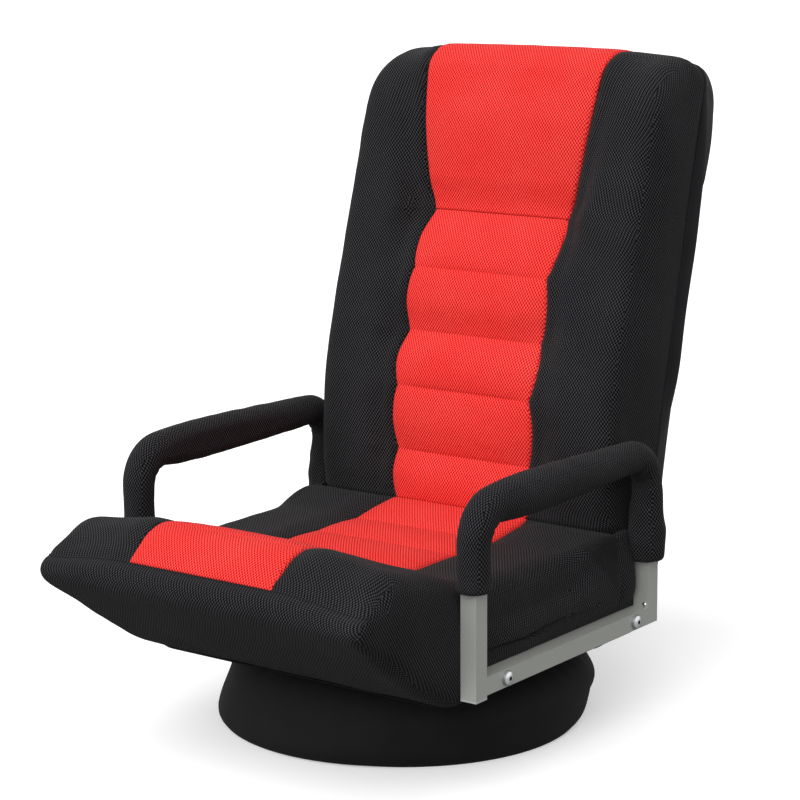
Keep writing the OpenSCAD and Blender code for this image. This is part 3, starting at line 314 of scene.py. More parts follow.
# %% [markdown]
# ## Plain woven cloth
# The rear of the backrest, the base and the underside have a plain polyester weave. It
# could share the mesh's pattern, but it is much finer and flatter. Its threads are about
# 1 mm apart, just too fine for the picture, so they are drawn at 1.6 mm as a faint
# ribbing with soft, uneven tone.

# %% Plain polyester cloth
RIB_GAP, RIB_HEIGHT = 1.6, 0.3


def plain_cloth(name, thread_colour, gap_colour, sheen):
    """Plain weave: mostly soft clouds of tone, with threads that only just show."""
    made, tree = new_material(name)
    threads = weave_pattern(tree, RIB_GAP, RIB_GAP, "SINE")
    where = add(tree, "ShaderNodeTexCoord").outputs["Object"]
    patches = add(tree, "ShaderNodeTexNoise", {"Vector": where, "Scale": 18.0, "Detail": 5.0})
    ribs = add(tree, "ShaderNodeMath", {0: threads, 1: 0.5}, operation="MULTIPLY")
    clouds = add(tree, "ShaderNodeMath", {0: patches, 1: 1.2}, operation="MULTIPLY")
    worn = add(tree, "ShaderNodeMath", {0: ribs, 1: clouds}, operation="ADD")
    grade = add(tree, "ShaderNodeMapRange", {0: worn, 1: 0.1, 2: 1.1, 3: 0.0, 4: 1.0})
    colour = add(tree, "ShaderNodeMix", {0: grade, 6: hexed(gap_colour), 7: hexed(thread_colour)},
                 data_type="RGBA").outputs[2]
    relief = add(tree, "ShaderNodeBump", {
        "Height": worn, "Strength": 0.25, "Distance": RIB_HEIGHT * MM})
    cloth = add(tree, "ShaderNodeBsdfPrincipled", {
        "Base Color": colour, "Normal": relief, "Roughness": 0.85,
        "Specular IOR Level": 0.2, "Sheen Weight": sheen, "Sheen Roughness": 0.5})
    add(tree, "ShaderNodeOutputMaterial", {"Surface": cloth})
    return made


# The backrest's rear and the hinge pads: black with a little nap, so edges turn grey
BLACK_CLOTH = plain_cloth("black_polyester_cloth", "#1d1d20", "#0e0e10", 0.1)
# The base: a duller cloth, darker than the rest as painted shade under the seat
SHADED_BASE_CLOTH = plain_cloth("black_base_cloth_painted_shade", "#151517", "#09090a", 0.02)
# Seam piping: near black and without nap, as painted shade that keeps the seam's groove a thin dark
# line
SEAM_PAINTED_SHADE = plain_cloth("black_seam_painted_shade", "#141416", "#08080a", 0.0)
# Under the seat: stiff cloth without nap that keeps an even dark grey
BOTTOM_CLOTH = plain_cloth("black_bottom_cloth", "#19191b", "#0b0b0c", 0.0)
print("plain cloth: ribs", RIB_GAP, "mm apart")

# %% [markdown]
# ## Seat cushion, black part
# The seat is one foam block with an upturned front roll. It could be modelled as a
# cube that is bent and subdivided; the photograph fixes its side outline so well that
# an outline is carried across the seat instead. Under the red panels it lies lower,
# beside them it rises to the bolsters, and its sides are rounded and bulge. All
# outlines are in millimetres: (to the rear, up) for the seat.

# %% Places that the whole chair shares
SIDES = ((1, "left"), (-1, "right"))
LEAN = math.radians(13)
SEAT_HALF = 245.0
BACK_HALF = 233.0
PANEL_HALF = 109.0


def on_seat(x, p):
    """From a seat outline's point (to the rear, up) to the chair's frame, in metres."""
    return Vector((x, p[0], p[1])) * MM


def on_back(x, p):
    """From the backrest's own plane (to the rear, up) to the chair's frame."""
    return Vector((x, HINGE[0] + p[0] * math.cos(LEAN) + p[1] * math.sin(LEAN),
                   HINGE[1] - p[0] * math.sin(LEAN) + p[1] * math.cos(LEAN))) * MM


print("the backrest leans", round(math.degrees(LEAN)), "degrees and is", 2 * BACK_HALF, "mm wide")

# %% Carrying an outline across a cushion
def outward(loop, i):
    """Normal of a closed outline that runs with its inside on the right."""
    way = loop[(i + 1) % len(loop)] - loop[i - 1]
    return Vector((-way[1], way[0])).normalized()


def nearest_on(spine, p):
    """The place nearest to p on a chain of straight lines."""
    best = None
    for a, b in zip(spine, spine[1:]):
        t = min(max((p - a).dot(b - a) / (b - a).length_squared, 0), 1)
        q = a.lerp(b, t)
        if best is None or (q - p).length < (best - p).length:
            best = q
    return best


FLAT_SHARES = (0.2, 0.4, 0.6, 0.8)
SIDE_SHARES = (0.06, 0.14, 0.24, 0.36, 0.5, 0.65, 0.8, 0.94)
EDGE_RINGS = 8


def side_rings(loop_at, half, radius_at, spine, bulge_at, inner):
    """Rings from x = inner over a rounded edge and down the domed side, as (x, place)."""
    spine = [Vector(p) for p in spine]
    kept = {}

    def point_at(x, i):
        """Point i of the outline at x, between two outlines at whole millimetres."""
        low = math.floor(x)
        for whole in (low, low + 1):
            if whole not in kept:
                kept[whole] = loop_at(whole)
        return kept[low][i].lerp(kept[low + 1][i], x - low)

    edge = [point_at(half, i) for i in range(len(loop_at(half)))]
    core = [nearest_on(spine, p) for p in edge]
    radii = [radius_at(p) for p in edge]
    rings = []
    for t in FLAT_SHARES:
        places = [mix(inner, half - r, t) for r in radii]
        rings.append([(x, point_at(x, i)) for i, x in enumerate(places)])
    for k in range(EDGE_RINGS):
        turn = math.radians(90 * k / (EDGE_RINGS - 1))
        ring = []
        for i, (c, r) in enumerate(zip(core, radii)):
            x = half - r + r * math.sin(turn)
            p = point_at(x, i)
            ring.append((x, p.lerp(c, min(1, r * (1 - math.cos(turn)) / max((c - p).length, 1e-6)))))
        rings.append(ring)
    last = rings[-1]
    for f in SIDE_SHARES:
        ring = []
        for (x, p), c in zip(last, core):
            q = p.lerp(c, f)
            ring.append((x + bulge_at(q) * (1 - (1 - f) ** 2.5), q))
        rings.append(ring)
    return rings


def cushion_rings(loop_at, half, radius_at, spine, bulge_at, middle, place):
    """Rings from the side at -X to the one at +X, with rounded edges and domed sides."""
    right = [[(x, p) for p in loop_at(x)] for x in middle]
    right += side_rings(loop_at, half, radius_at, spine, bulge_at, middle[-1])
    rings = [[place(-x, p) for x, p in ring] for ring in reversed(right)]
    return rings + [[place(x, p) for x, p in ring] for ring in right[1:]]


# %% The seat's side outline
SEAT_LOW = [(127.7, 107), (60, 107), (-60, 107), (-160, 107), (-226, 108), (-241, 112), (-261, 120),
            (-282, 132), (-305, 148), (-333, 167), (-355, 183), (-381, 203), (-404, 221.5),
            (-411.5, 230), (-415, 240), (-414.5, 251), (-410.5, 261), (-403, 269)]
SEAT_TOP = [(-403, 269), (-394, 277.5), (-384, 286), (-375, 293), (-365, 299), (-353, 303),
            (-343, 305), (-326, 302), (-307, 295), (-282, 285), (-257, 274), (-216, 254),
            (-178, 241), (-137, 234.5), (-95, 234), (-52, 234), (-10, 234), (31, 234), (75, 240),
            (116.7, 246)]
SEAT_REAR = [(116.7, 246), (132, 226), (147, 206), (139, 197), (131, 184), (127.7, 165),
             (127.7, 136), (127.7, 107)]
# Number of the point where the front roll ends at the rear, and the roll's foremost place
ROLL_BACK = 6
NOSE = Vector((-415, 240))
low_part, top_part, rear_part = (smooth_path(points, step)[:-1] for points, step in (
    (SEAT_LOW, 6), (SEAT_TOP, 5), (SEAT_REAR, 7)))
seat_outline = low_part + top_part + rear_part
low_count, top_count = len(low_part), len(top_part)
print("seat outline:", len(seat_outline), "points")


# Depths and heights in mm by which the cover leaves that outline, and the bolster's slope
SEAM_GROOVE, ROLL_DROP, ROLL_FORWARD = 2.4, 10.5, 5
PANEL_SINK, BOLSTER_RISE, INNER_RISE, BOLSTER_SLOPE = 7, 5.5, 2.5, 46


def seat_loop(x):
    """The seat's outline at x: sunk under the panels, raised at the bolsters."""
    side = ease((abs(x) - PANEL_HALF) / BOLSTER_SLOPE)
    under = 1 - ease((abs(x) - PANEL_HALF + 5) / 9)
    fall = ease((abs(x) - 125) / 110)
    loop = []
    for i, p in enumerate(seat_outline):
        moved = p.copy()
        out = outward(seat_outline, i)
        # The seam on the roll's front is drawn in; the roll's ends drop and come forward
        from_seam = (p - seat_outline[low_count]).length
        moved -= out * (SEAM_GROOVE * math.exp(-(from_seam / 4.5) ** 2))
        moved[1] -= ROLL_DROP * fall * ease((-250 - p[0]) / 70) * ease((p[1] - 225) / 50)
        moved[0] -= ROLL_FORWARD * fall * math.exp(-((p - NOSE).length / 32) ** 2)
        if low_count <= i <= low_count + top_count:
            start = ease((i - low_count) / 6)
            end = 1 - ease((i - low_count - top_count + 5) / 5)
            # Room for the panels' padding, then the bolster and its fuller inner edge
            moved -= out * PANEL_SINK * under * start * end
            moved += out * BOLSTER_RISE * side * ease((p[0] + 300) / 120) * end
            moved += out * INNER_RISE * side * (1 - side) * 4 * start * end
        loop.append(moved)
    return loop


def seat_edge_radius(p):
    """How round the side edge is: wide along the top, tight below and at the nose."""
    top = mix(mix(31, 40, ease((p[0] + 330) / 150)), 10, ease((p[0] + 10) / 90))
    front = ease((-215 - p[0]) / 50) * (1 - ease((p[1] - 215) / 60))
    return mix(mix(mix(18, top, ease((p[1] - 150) / 60)), 27, front), 14, ease((-365 - p[0]) / 40))


def seat_bulge(p):
    """How far the side stands out: most beside the sitter's hips."""
    along = ease((p[0] + 225) / 120) * (1 - ease((p[0] - 92) / 45))
    return 1.5 + 12 * along * ease((p[1] - 146) / 26) * (1 - ease((p[1] - 180) / 60))


# %% The seat cushion and the crease behind it
SEAT_CORE = [(-368, 252), (-335, 232), (-292, 205), (-235, 176), (-150, 168), (0, 172), (95, 178)]
SEAT_PLACES = [0, 35, 70, 95, 102, 105, 107, 109, 111, 114, 119, 126, 135, 146, 158, 172, 188]
# The side cover begins this far from the middle, in metres like a vertex's place
SIDE_COVER = 0.222
seat_rings = cushion_rings(seat_loop, SEAT_HALF, seat_edge_radius, SEAT_CORE, seat_bulge,
                           SEAT_PLACES, on_seat)
seat_bm = skin(seat_rings, cloth_lengths(seat_rings))
crumple(seat_bm, depth=1.2 * MM, size=0.075, seed=3.0)
crumple(seat_bm, depth=0.5 * MM, size=0.028, seed=9.0)
# Upright folds on the side cover, from behind the front roll on
crumple(seat_bm, depth=1.0 * MM, size=0.034, seed=6.0, stretch=(1, 0.3, 1.5),
        keep=lambda p: ease((abs(p.x) - SIDE_COVER) / 0.02) * ease((p.y + 0.2) / 0.1))

# %% Where the seat's weave is faint
# The air mesh reads this value: how far its weave fades on the side cover of the crease
FADED = 0.85
stretched = seat_bm.verts.layers.float.new("stretched")
for v in seat_bm.verts:
    way = (v.co - BLEND_START).dot(blend_way) / (BLEND_END - BLEND_START).length
    v[stretched] = FADED * ease((abs(v.co.x) - SIDE_COVER) / 0.012) * ease(way / 0.12 + 0.5)
print(sum(v[stretched] > 0 for v in seat_bm.verts), "points of the seat have a faint weave")

# %% The seat cushion as a piece
seat_surface = BVHTree.FromBMesh(seat_bm)
seat_black = piece(seat_bm, "seat_black_cushion", BLACK_MESH, "crease", 1)
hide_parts("seat_cushion", "crease_wedge")

# %% [markdown]
# ## Stiff cloth under the seat
# A board covered with cloth closes the seat from below and turns up at the rear as a
# flap. A cube could be bevelled into it, but then all corners are alike. So a plan with
# large front and small rear corners is carried up over a rounded rim, sized from the
# part in the construction model, whose places are in metres.

# %% Bottom cloth
FRONT_ROUND, REAR_ROUND = 0.038, 0.01
# The rounded rim as (how far in, how far up)
RIM = ((0.003, 0.0), (0.0006, 0.0004), (0, 0.001), (0.0006, 0.0018), (0.003, 0.0022))
FLAP_THICK, FLAP_FOOT, FLAP_IN, ABOVE_BOARD = 0.002, 0.001, 0.0015, 0.003
cad_cover = bpy.data.objects["seat_bottom_cover"]
cover_points = [cad_cover.matrix_world @ v.co for v in cad_cover.data.vertices]
cover_low = Vector(min(p[k] for p in cover_points) for k in range(3))
cover_high = Vector(max(p[k] for p in cover_points) for k in range(3))
flap_half = max(p.x for p in cover_points if p.z > cover_low.z + ABOVE_BOARD)
COVER_CORNERS = ((1, cover_low.y, FRONT_ROUND, -90), (1, cover_high.y, REAR_ROUND, 0),
                 (-1, cover_high.y, REAR_ROUND, 90), (-1, cover_low.y, FRONT_ROUND, 180))


def rounded_plan(inset, z):
    """The board seen from above: large corners at the front and small ones at the rear."""
    ring = []
    for sx, y, round_off, first in COVER_CORNERS:
        sy = -1 if y == cover_low.y else 1
        centre = Vector((sx * (cover_high.x - round_off), y - sy * round_off, z))
        for k in range(7):
            turn = math.radians(first + 15 * k)
            way = Vector((math.cos(turn), math.sin(turn), 0))
            ring.append(centre + way * (round_off - inset))
    return ring


cover_rings = [rounded_plan(inset, cover_low.z + up) for inset, up in RIM]
cover_bm = skin(cover_rings, cloth_lengths(cover_rings))
flap = bmesh.ops.create_cube(cover_bm, size=1)["verts"]
flap_size = (2 * flap_half, FLAP_THICK, cover_high.z - cover_low.z - FLAP_FOOT)
flap_place = (0, cover_high.y - FLAP_IN, (cover_low.z + cover_high.z) / 2 + FLAP_FOOT / 2)
bmesh.ops.scale(cover_bm, vec=flap_size, verts=flap)
bmesh.ops.translate(cover_bm, vec=flap_place, verts=flap)
cover_cloth = cover_bm.verts.layers.float_vector["cloth"]
for v in cover_bm.verts:
    v[cover_cloth] = (v.co.x, v.co.y + v.co.z, 0)
bottom_cover = piece(cover_bm, "seat_bottom_cloth", BOTTOM_CLOTH, "seat")
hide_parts("seat_bottom_cover")

# %% [markdown]
# ## Piping along the front seam
# A thin piping is sewn into the seam across the front of the roll; its near-black cloth
# is painted shade, so that the seam reads as a dark groove. It could be a curve object
# with a round bevel; a skin over small rings keeps it a mesh like the other pieces, and
# its path is laid on the cushion's surface, so it follows every unevenness.

# %% Piping along a seam
def laid_on(surface, points, lift):
    """The points moved to the nearest place on a surface, then off it by lift."""
    places = []
    for p in points:
        near, normal, _, _ = surface.find_nearest(p)
        places.append(near + normal * lift)
    return places


PIPING_SIDES = 6


def piping(name, points, radius, material, body):
    """A round piping along a path of places in metres."""
    side = (points[1] - points[0]).orthogonal()
    rings = []
    for i, p in enumerate(points):
        way = (points[min(i + 1, len(points) - 1)] - points[max(i - 1, 0)]).normalized()
        side = (side - way * side.dot(way)).normalized()
        up = way.cross(side)
        turns = [math.tau * k / PIPING_SIDES for k in range(PIPING_SIDES)]
        rings.append([p + (side * math.cos(t) + up * math.sin(t)) * radius for t in turns])
    made = piece(skin(rings, cloth_lengths(rings)), name, material, body, 1)


# The seam ends before the rings that close the seat's sides
SIDE_RINGS = 10
PIPING_LIFT, PIPING_RADIUS = 0.4, 1.1
nose_seam = [ring[low_count] for ring in seat_rings][SIDE_RINGS:-SIDE_RINGS]
# Near-black piping: painted shade of the seam's groove
piping("seat_front_seam_piping_painted_shade", laid_on(seat_surface, nose_seam, PIPING_LIFT * MM),
       PIPING_RADIUS * MM, SEAM_PAINTED_SHADE, "seat")

# %% [markdown]
# ## Red channel panels
# The red mesh is quilted over thin foam: seams run across it, and between two seams
# the cloth stands up as a channel. A displacement could fake this, but the channels
# make the outline wavy, so they are shaped. A closed slice of padding is carried along
# the cushion, its height following the channels, its edges tucked down at the side seams.

# %% Padding a panel along a path
def channel(t, sharp=0.55):
    """Height of a channel between its seams at t = 0 and 1."""
    return max(0.0, math.sin(math.pi * min(max(t, 0), 1))) ** sharp


UNDERSIDE = (0.97, 0.6, 0.2, -0.2, -0.6, -0.97)


def panel_rings(path, half_at, crown_at, place, thick=9.0, tuck=5.5, lift=0.6):
    """Rings along a path of (place, normal), each a closed slice of padding."""
    steps = [math.sin(math.radians(a)) for a in range(-90, 91, 4)]
    run, rings, lengths = 0.0, [], []
    for i, (p, n) in enumerate(path):
        if i:
            run += (p - path[i - 1][0]).length
        half, crown = half_at(run), crown_at(run)
        ring, row = [], []
        for s in steps:
            x = s * half
            rim = min(1, max(0, (abs(x) - half + tuck) / tuck))
            up = lift + crown * (1 - abs(s) ** 5) - tuck * (1 - math.sqrt(max(0, 1 - rim * rim)))
            up += (0.35 * noise.noise(Vector((x / 17, run / 17, 4.0)))
                   + 0.5 * noise.noise(Vector((x / 45, run / 45, 8.0))))
            ring.append(place(x, p + n * up))
            row.append((x * MM, run * MM))
        for s in UNDERSIDE:
            ring.append(place(s * half, p - n * thick))
            row.append((s * half * MM, run * MM))
        rings.append(ring)
        lengths.append(row)
    return rings, lengths


def with_normals(points):
    """Pairs of place and outward normal for a path with its solid on the right."""
    pairs = []
    for i, p in enumerate(points):
        way = points[min(i + 1, len(points) - 1)] - points[max(i - 1, 0)]
        pairs.append((p, Vector((-way[1], way[0])).normalized()))
    return pairs


def seams_along(points, marks):
    """Distance along a path at the point nearest to each mark."""
    run, runs = 0.0, [0.0]
    for a, b in zip(points, points[1:]):
        run += (b - a).length
        runs.append(run)
    nearest = [min(range(len(points)), key=lambda i: (points[i] - Vector(m)).length) for m in marks]
    return [runs[i] for i in nearest]


def between(seams, run):
    """Share of the way from one seam to the next at this distance along the path."""
    for a, b in zip(seams, seams[1:]):
        if run <= b:
            return (run - a) / (b - a)
    return 1.0


def red_panel(name, points, marks, half_at, crown, place, body, share_at=lambda run: 1):
    """A padded red panel along points, with a seam across it at each mark."""
    seams = seams_along(points, marks)
    rings, lengths = panel_rings(with_normals(points), lambda run: half_at(run, seams),
                                 lambda run: crown * share_at(run) * channel(between(seams, run)),
                                 place)
    made = piece(skin(rings, lengths), name, RED_MESH, body, 1)
    return made


# %% The front roll's red panel and the seat's channels
PANEL_STEP = 2.2
ROLL_CROWN, SEAT_CHANNELS = 3.5, 7.0
roll_path = smooth_path(SEAT_TOP[:ROLL_BACK + 1], PANEL_STEP)
roll_panel = red_panel("seat_front_red_panel", roll_path, [SEAT_TOP[0], SEAT_TOP[ROLL_BACK]],
                       lambda run, seams: PANEL_HALF, ROLL_CROWN, on_seat, "seat")
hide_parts("seat_front_panel")
seat_path = smooth_path(SEAT_TOP[ROLL_BACK:], PANEL_STEP)
SEAT_SEAMS = [SEAT_TOP[ROLL_BACK], (-137, 234.5), (-52, 234), (31, 234), SEAT_TOP[-1]]
seat_panel = red_panel("seat_red_channels", seat_path, SEAT_SEAMS,
                       lambda run, seams: PANEL_HALF - 1 + 2 * channel(between(seams, run)),
                       SEAT_CHANNELS, on_seat, "crease")
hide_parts("seat_channel_panel", "crease_channel")

# %% [markdown]
# ## Backrest cushion
# The backrest is a tall pad with a broad bolster on each side of the red panels. It
# could be sculpted, but its depth is better kept in two tables against the height: one
# for the valley under the panels, one for the bolsters. Places on it are (to the rear,
# up) in its own leaning plane, with the hinge axis at zero, and w is such a height.

# %% Depth of the backrest against its height
VALLEY = [(65, 78), (98, 84), (131, 88), (173, 101), (214, 109), (251, 108), (289, 97), (331, 104),
          (373, 104), (413, 91), (454, 72), (500, 81), (560, 89), (620, 90), (650, 87), (667, 77),
          (680, 58), (686, 34), (688, 12)]
BOLSTER = [(65, 83), (98, 94), (131, 102), (173, 111), (214, 117), (251, 118), (289, 117),
           (331, 116), (373, 113), (413, 111), (454, 109), (500, 107), (560, 105), (605, 101),
           (632, 94), (652, 81), (668, 62), (680, 40), (686, 22), (688, 10)]
REAR = [(4, 50), (19, 59), (45, 62), (89, 54), (138, 44), (275, 42), (447, 42), (592, 44),
        (647, 46), (671, 42), (683, 31), (687, 16)]
TOP_W = 683.5
SHOULDER_W = 560.0
TOP_DROP = [(0, 0), (114, 1), (156, 2), (188, 3.5), (204, 5), (214, 7.5), (221, 11), (227, 17),
            (231, 24), (234, 34)]
FOOT_W = 65
HEAD_SEAM_W = 454
FOAM_TOP = 688.0
# The seam between front cushion and rear pad, and the radius of the end at the hinge
SPLIT_Q = 9.0
LOWER_ROUND = 50.5


def lowered(w, x):
    """The top edge drops a little towards the sides and rounds off at the corners."""
    if w <= SHOULDER_W:
        return w
    top = TOP_W - table(TOP_DROP, abs(x))
    return SHOULDER_W + (w - SHOULDER_W) * (top - SHOULDER_W) / (FOAM_TOP - SHOULDER_W)


def lower_end(angles):
    """Places on the round lower end, at angles up from straight to the rear."""
    turns = [math.radians(angle) for angle in angles]
    return [Vector((LOWER_ROUND * math.cos(t), LOWER_ROUND * math.sin(t))) for t in turns]


def on_back_top(x, p):
    """As on_back, with the drop of the top edge towards the sides."""
    return on_back(x, (p[0], lowered(p[1], x)))


# Half width of the channels at their seams, and how far each swells between two seams
CHANNEL_HALF, SCALLOP, SCALLOP_SHARP = 104, 7, 0.8
BACK_SEAMS_W = [FOOT_W, 131.4, 214, 289, 373, HEAD_SEAM_W]
HEAD_HALF = [(HEAD_SEAM_W, 106), (477, 114), (508, 121), (540, 127), (575, 132), (620, 137), (688, 140)]


def red_half(w):
    """Half width of the red panels: scalloped channels, then wider to the top."""
    if w >= BACK_SEAMS_W[-1]:
        return table(HEAD_HALF, w)
    return CHANNEL_HALF + SCALLOP * channel(between(BACK_SEAMS_W, w), SCALLOP_SHARP)


# %% The backrest's outline
TOP_HEIGHTS = [657, 661, 665, 669, 672, 675, 678, 680.5, 683, 685, 686.5, 688]
# How far the bolster stands up along the panel's edge
LIP = 3.0
front_heights = [FOOT_W + 4.5 * k for k in range(131)] + TOP_HEIGHTS
print("backrest: rings of", len(front_heights), "heights")


def back_loop(x):
    """Outline of the front cushion at x, in the backrest's own plane (to the rear, up)."""
    loop = lower_end((82, 94, 106, 118, 130)) + [Vector((-48, 44)), Vector((-60, 52))]
    for w in front_heights:
        half = red_half(w)
        side = ease((abs(x) - half) / 48)
        lip = LIP * math.exp(-((abs(x) - half - 9) / 6) ** 2) * ease((w - FOOT_W) / 20)
        under = PANEL_SINK * (1 - ease((abs(x) - half + 5) / 8)) * ease((w - FOOT_W) / 12)
        under *= ease((FOAM_TOP - w) / 14)
        depth = mix(table(VALLEY, w), table(BOLSTER, w), side) + lip - under
        loop.append(Vector((-depth, lowered(w, x))))
    loop.append(Vector((SPLIT_Q, lowered(687.6, x))))
    for k in range(1, 40):
        loop.append(Vector((SPLIT_Q, lowered(mix(687, 52, k / 40), x))))
    return loop


def back_radius(p):
    """How round the side edge is: hardly at the seam behind, more towards the front."""
    return mix(3, 26, ease((SPLIT_Q - 2 - p[0]) / 30)) * (1 + 0.3 * ease((p[1] - 540) / 60))


def back_bulge(p):
    """How far the side stands out: not at all at the foot, where the arms are."""
    return 9 * ease((p[1] - 185) / 110)


BACK_CORE = [(-22, 70), (-42, 130), (-48, 300), (-38, 520)]
BACK_PLACES = [0, 45, 80, 96] + list(range(100, 143, 3)) + [146, 152, 160, 170, 182]
back_rings = cushion_rings(back_loop, BACK_HALF, back_radius, BACK_CORE, back_bulge,
                           BACK_PLACES, on_back)
back_bm = skin(back_rings, cloth_lengths(back_rings))
crumple(back_bm, depth=1.4 * MM, size=0.11, seed=5.0)
crumple(back_bm, depth=0.4 * MM, size=0.03, seed=2.0)
back_black = piece(back_bm, "back_black_cushion", BLACK_MESH, "backrest", 1)
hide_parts("back_cushion")

# %% The backrest's red channels and head panel
def back_path(w0, w1):
    """Places up the valley between two heights."""
    parts = round((w1 - w0) / PANEL_STEP)
    heights = [w0 + (w1 - w0) * k / parts for k in range(parts + 1)]
    return [Vector((-table(VALLEY, w), w)) for w in heights]


channel_path = back_path(FOOT_W, HEAD_SEAM_W)
channel_marks = [(-table(VALLEY, w), w) for w in BACK_SEAMS_W]
BACK_CHANNELS, HEAD_CROWN = 8.0, 6.5


def channels_half(run, seams):
    """Half width of the channel panel, a millimetre wider than its bed."""
    return CHANNEL_HALF + 1 + SCALLOP * channel(between(seams, run), SCALLOP_SHARP)


back_panel = red_panel("back_red_channels", channel_path, channel_marks, channels_half,
                       BACK_CHANNELS, on_back, "backrest")
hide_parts("back_channel_panel")

# The head panel goes on over the top edge, in points of (depth, height)
OVER_TOP = [(70, 674.5), (65, 677.5), (59, 680.5), (52, 683), (45, 685), (37, 686.6), (29, 687.6),
            (20, 688), (12, 688), (4, 688)]
head_path = back_path(HEAD_SEAM_W, 672) + [Vector((-d, w)) for d, w in OVER_TOP]
head_length = seams_along(head_path, [head_path[-1]])[0]


def head_half(run, seams):
    """Half width of the head panel at this distance up its path."""
    return table(HEAD_HALF, HEAD_SEAM_W + (FOAM_TOP - HEAD_SEAM_W) * run / head_length) + 1


head_panel = red_panel("back_red_head", head_path, [head_path[0], head_path[-1]], head_half,
                       HEAD_CROWN, on_back_top, "backrest",
                       lambda run: 1 - 0.9 * ease((run - 120) / 70))
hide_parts("back_head_panel")

# %% [markdown]
# ## Rear pad and the roll at the hinge
# Behind the side seam the backrest has plain cloth over a thinner pad. At the bottom
# it curls under, and a soft roll round the hinge axis closes the gap inside. The pad
# could be a thickened sheet, but made like the front cushion its edge meets the seam.

# %% Rear pad
REAR_HEIGHTS = ([687, 686, 684.5, 682, 679, 675, 670, 664] + [656 - 8 * k for k in range(77)]
                + [36, 29, 22, 16, 11, 7, 4])


def rear_loop(x):
    """Outline of the rear pad at x: up its seam face, over the top and down the rear."""
    loop = [Vector((SPLIT_Q + 1, lowered(mix(52, 686.5, k / 24), x))) for k in range(24)]
    loop += [Vector((table(REAR, w), lowered(w, x))) for w in REAR_HEIGHTS]
    return loop + lower_end((8, 20, 32, 44, 56, 68))


def rear_radius(p):
    """How round the side edge is: hardly at the seam, more towards the rear."""
    return mix(3, 16, ease((p[0] - SPLIT_Q - 3) / 12))


rear_rings = cushion_rings(rear_loop, BACK_HALF, rear_radius, [(24, 60), (24, 520)], back_bulge,
                           [0, 60, 120, 170, 200], on_back)
rear_bm = skin(rear_rings, cloth_lengths(rear_rings))
crumple(rear_bm, depth=1.6 * MM, size=0.09, seed=7.0)
rear_pad = piece(rear_bm, "back_rear_cloth_pad", BLACK_CLOTH, "backrest", 1)
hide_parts("back_rear_pad")

# %% The roll round the hinge axis
# Cloth round the roll, in metres for each radian of turn
ROLL_CLOTH = 0.05


def lathe_x(profile, centre, parts=48):
    """Spins a profile of (x, radius) about an axis along X through the centre (y, z)."""
    bm = bmesh.new()
    cloth = bm.verts.layers.float_vector.new("cloth")
    middle = Vector((0, centre[0] * MM, centre[1] * MM))
    line = [bm.verts.new((x * MM, centre[0] * MM, (centre[1] + r) * MM)) for x, r in profile]
    for a, b in zip(line, line[1:]):
        bm.edges.new((a, b))
    bmesh.ops.spin(bm, geom=bm.verts[:] + bm.edges[:], cent=middle, axis=(1, 0, 0),
                   angle=math.tau, steps=parts, use_merge=True)
    bmesh.ops.remove_doubles(bm, verts=bm.verts, dist=1e-6)
    bmesh.ops.recalc_face_normals(bm, faces=bm.faces)
    for v in bm.verts:
        turn = math.atan2(v.co.z - centre[1] * MM, v.co.y - centre[0] * MM)
        v[cloth] = (v.co.x, turn * ROLL_CLOTH, 0)
    return bm


half_roll = [(60, 49.4), (170, 49.4), (177, 48.5), (181, 44), (182, 30), (182, 0)]
roll_profile = [(-x, r) for x, r in reversed(half_roll)] + [(0, 49.4)] + half_roll
hinge_roll = piece(lathe_x(roll_profile, HINGE), "back_lower_roll_cloth", BLACK_MESH, "backrest")
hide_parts("back_lower_roll")

# %% [markdown]
# ## Side ends beside the hinge
# The seat's side cover runs on to the rear past the crease, outside the backrest, and
# hides the hinge. One cover over all could be cut with a boolean, but soft parts that
# touch are nearer to the real padding: a block low in each corner, an upright end with
# a rounded outline, and a round pad over the hinge.

# %% Corner pads
def soft_block(low_corner, high_corner, edge, steps=4):
    """A block with rounded edges, from a cube that is sized, moved and bevelled."""
    bm = bmesh.new()
    bmesh.ops.create_cube(bm, size=1)
    low_corner, high_corner = Vector(low_corner), Vector(high_corner)
    bmesh.ops.scale(bm, vec=(high_corner - low_corner) * MM, verts=bm.verts)
    bmesh.ops.translate(bm, vec=(high_corner + low_corner) / 2 * MM, verts=bm.verts)
    bmesh.ops.bevel(bm, geom=bm.edges[:], offset=edge * MM, segments=steps, profile=0.5,
                    affect="EDGES", material=-1)
    return bm


corner_bm = soft_block((222, 108, 107), (241, 176, 162), 8)
corner_cloth = corner_bm.verts.layers.float_vector.new("cloth")
for v in corner_bm.verts:
    v[corner_cloth] = (v.co.y + v.co.x, v.co.z, 0)
left_pad = corner_bm.verts[:] + corner_bm.edges[:] + corner_bm.faces[:]
bmesh.ops.mirror(corner_bm, geom=left_pad, axis="X", merge_dist=0)
bmesh.ops.recalc_face_normals(corner_bm, faces=corner_bm.faces)
corner_pads = piece(corner_bm, "seat_rear_corner_pads", BLACK_MESH, "seat")

# %% Upright ends of the side cover
SIDE_END = [(150, 108), (105, 108), (62, 110), (60, 150), (62, 192), (74, 214), (92, 232),
            (111, 242), (130, 246), (148, 245), (164, 239), (176, 227), (182, 204), (184, 174),
            (182, 148), (177, 126), (166, 112), (150, 108)]
SIDE_END_CORE = [(95, 155), (140, 180)]
SIDE_END_IN, SIDE_END_ROUND = 235.5, 9
side_end_outline = smooth_path(SIDE_END, 6)[:-1]


def side_end_bulge(p):
    """How far the end stands out: it carries on the bulge of the seat's side."""
    along = ease((p[0] - 78) / 45) * (1 - ease((p[0] - 134) / 22))
    return 1.4 + 11.5 * along * ease((p[1] - 146) / 24) * (1 - ease((p[1] - 195) / 45))


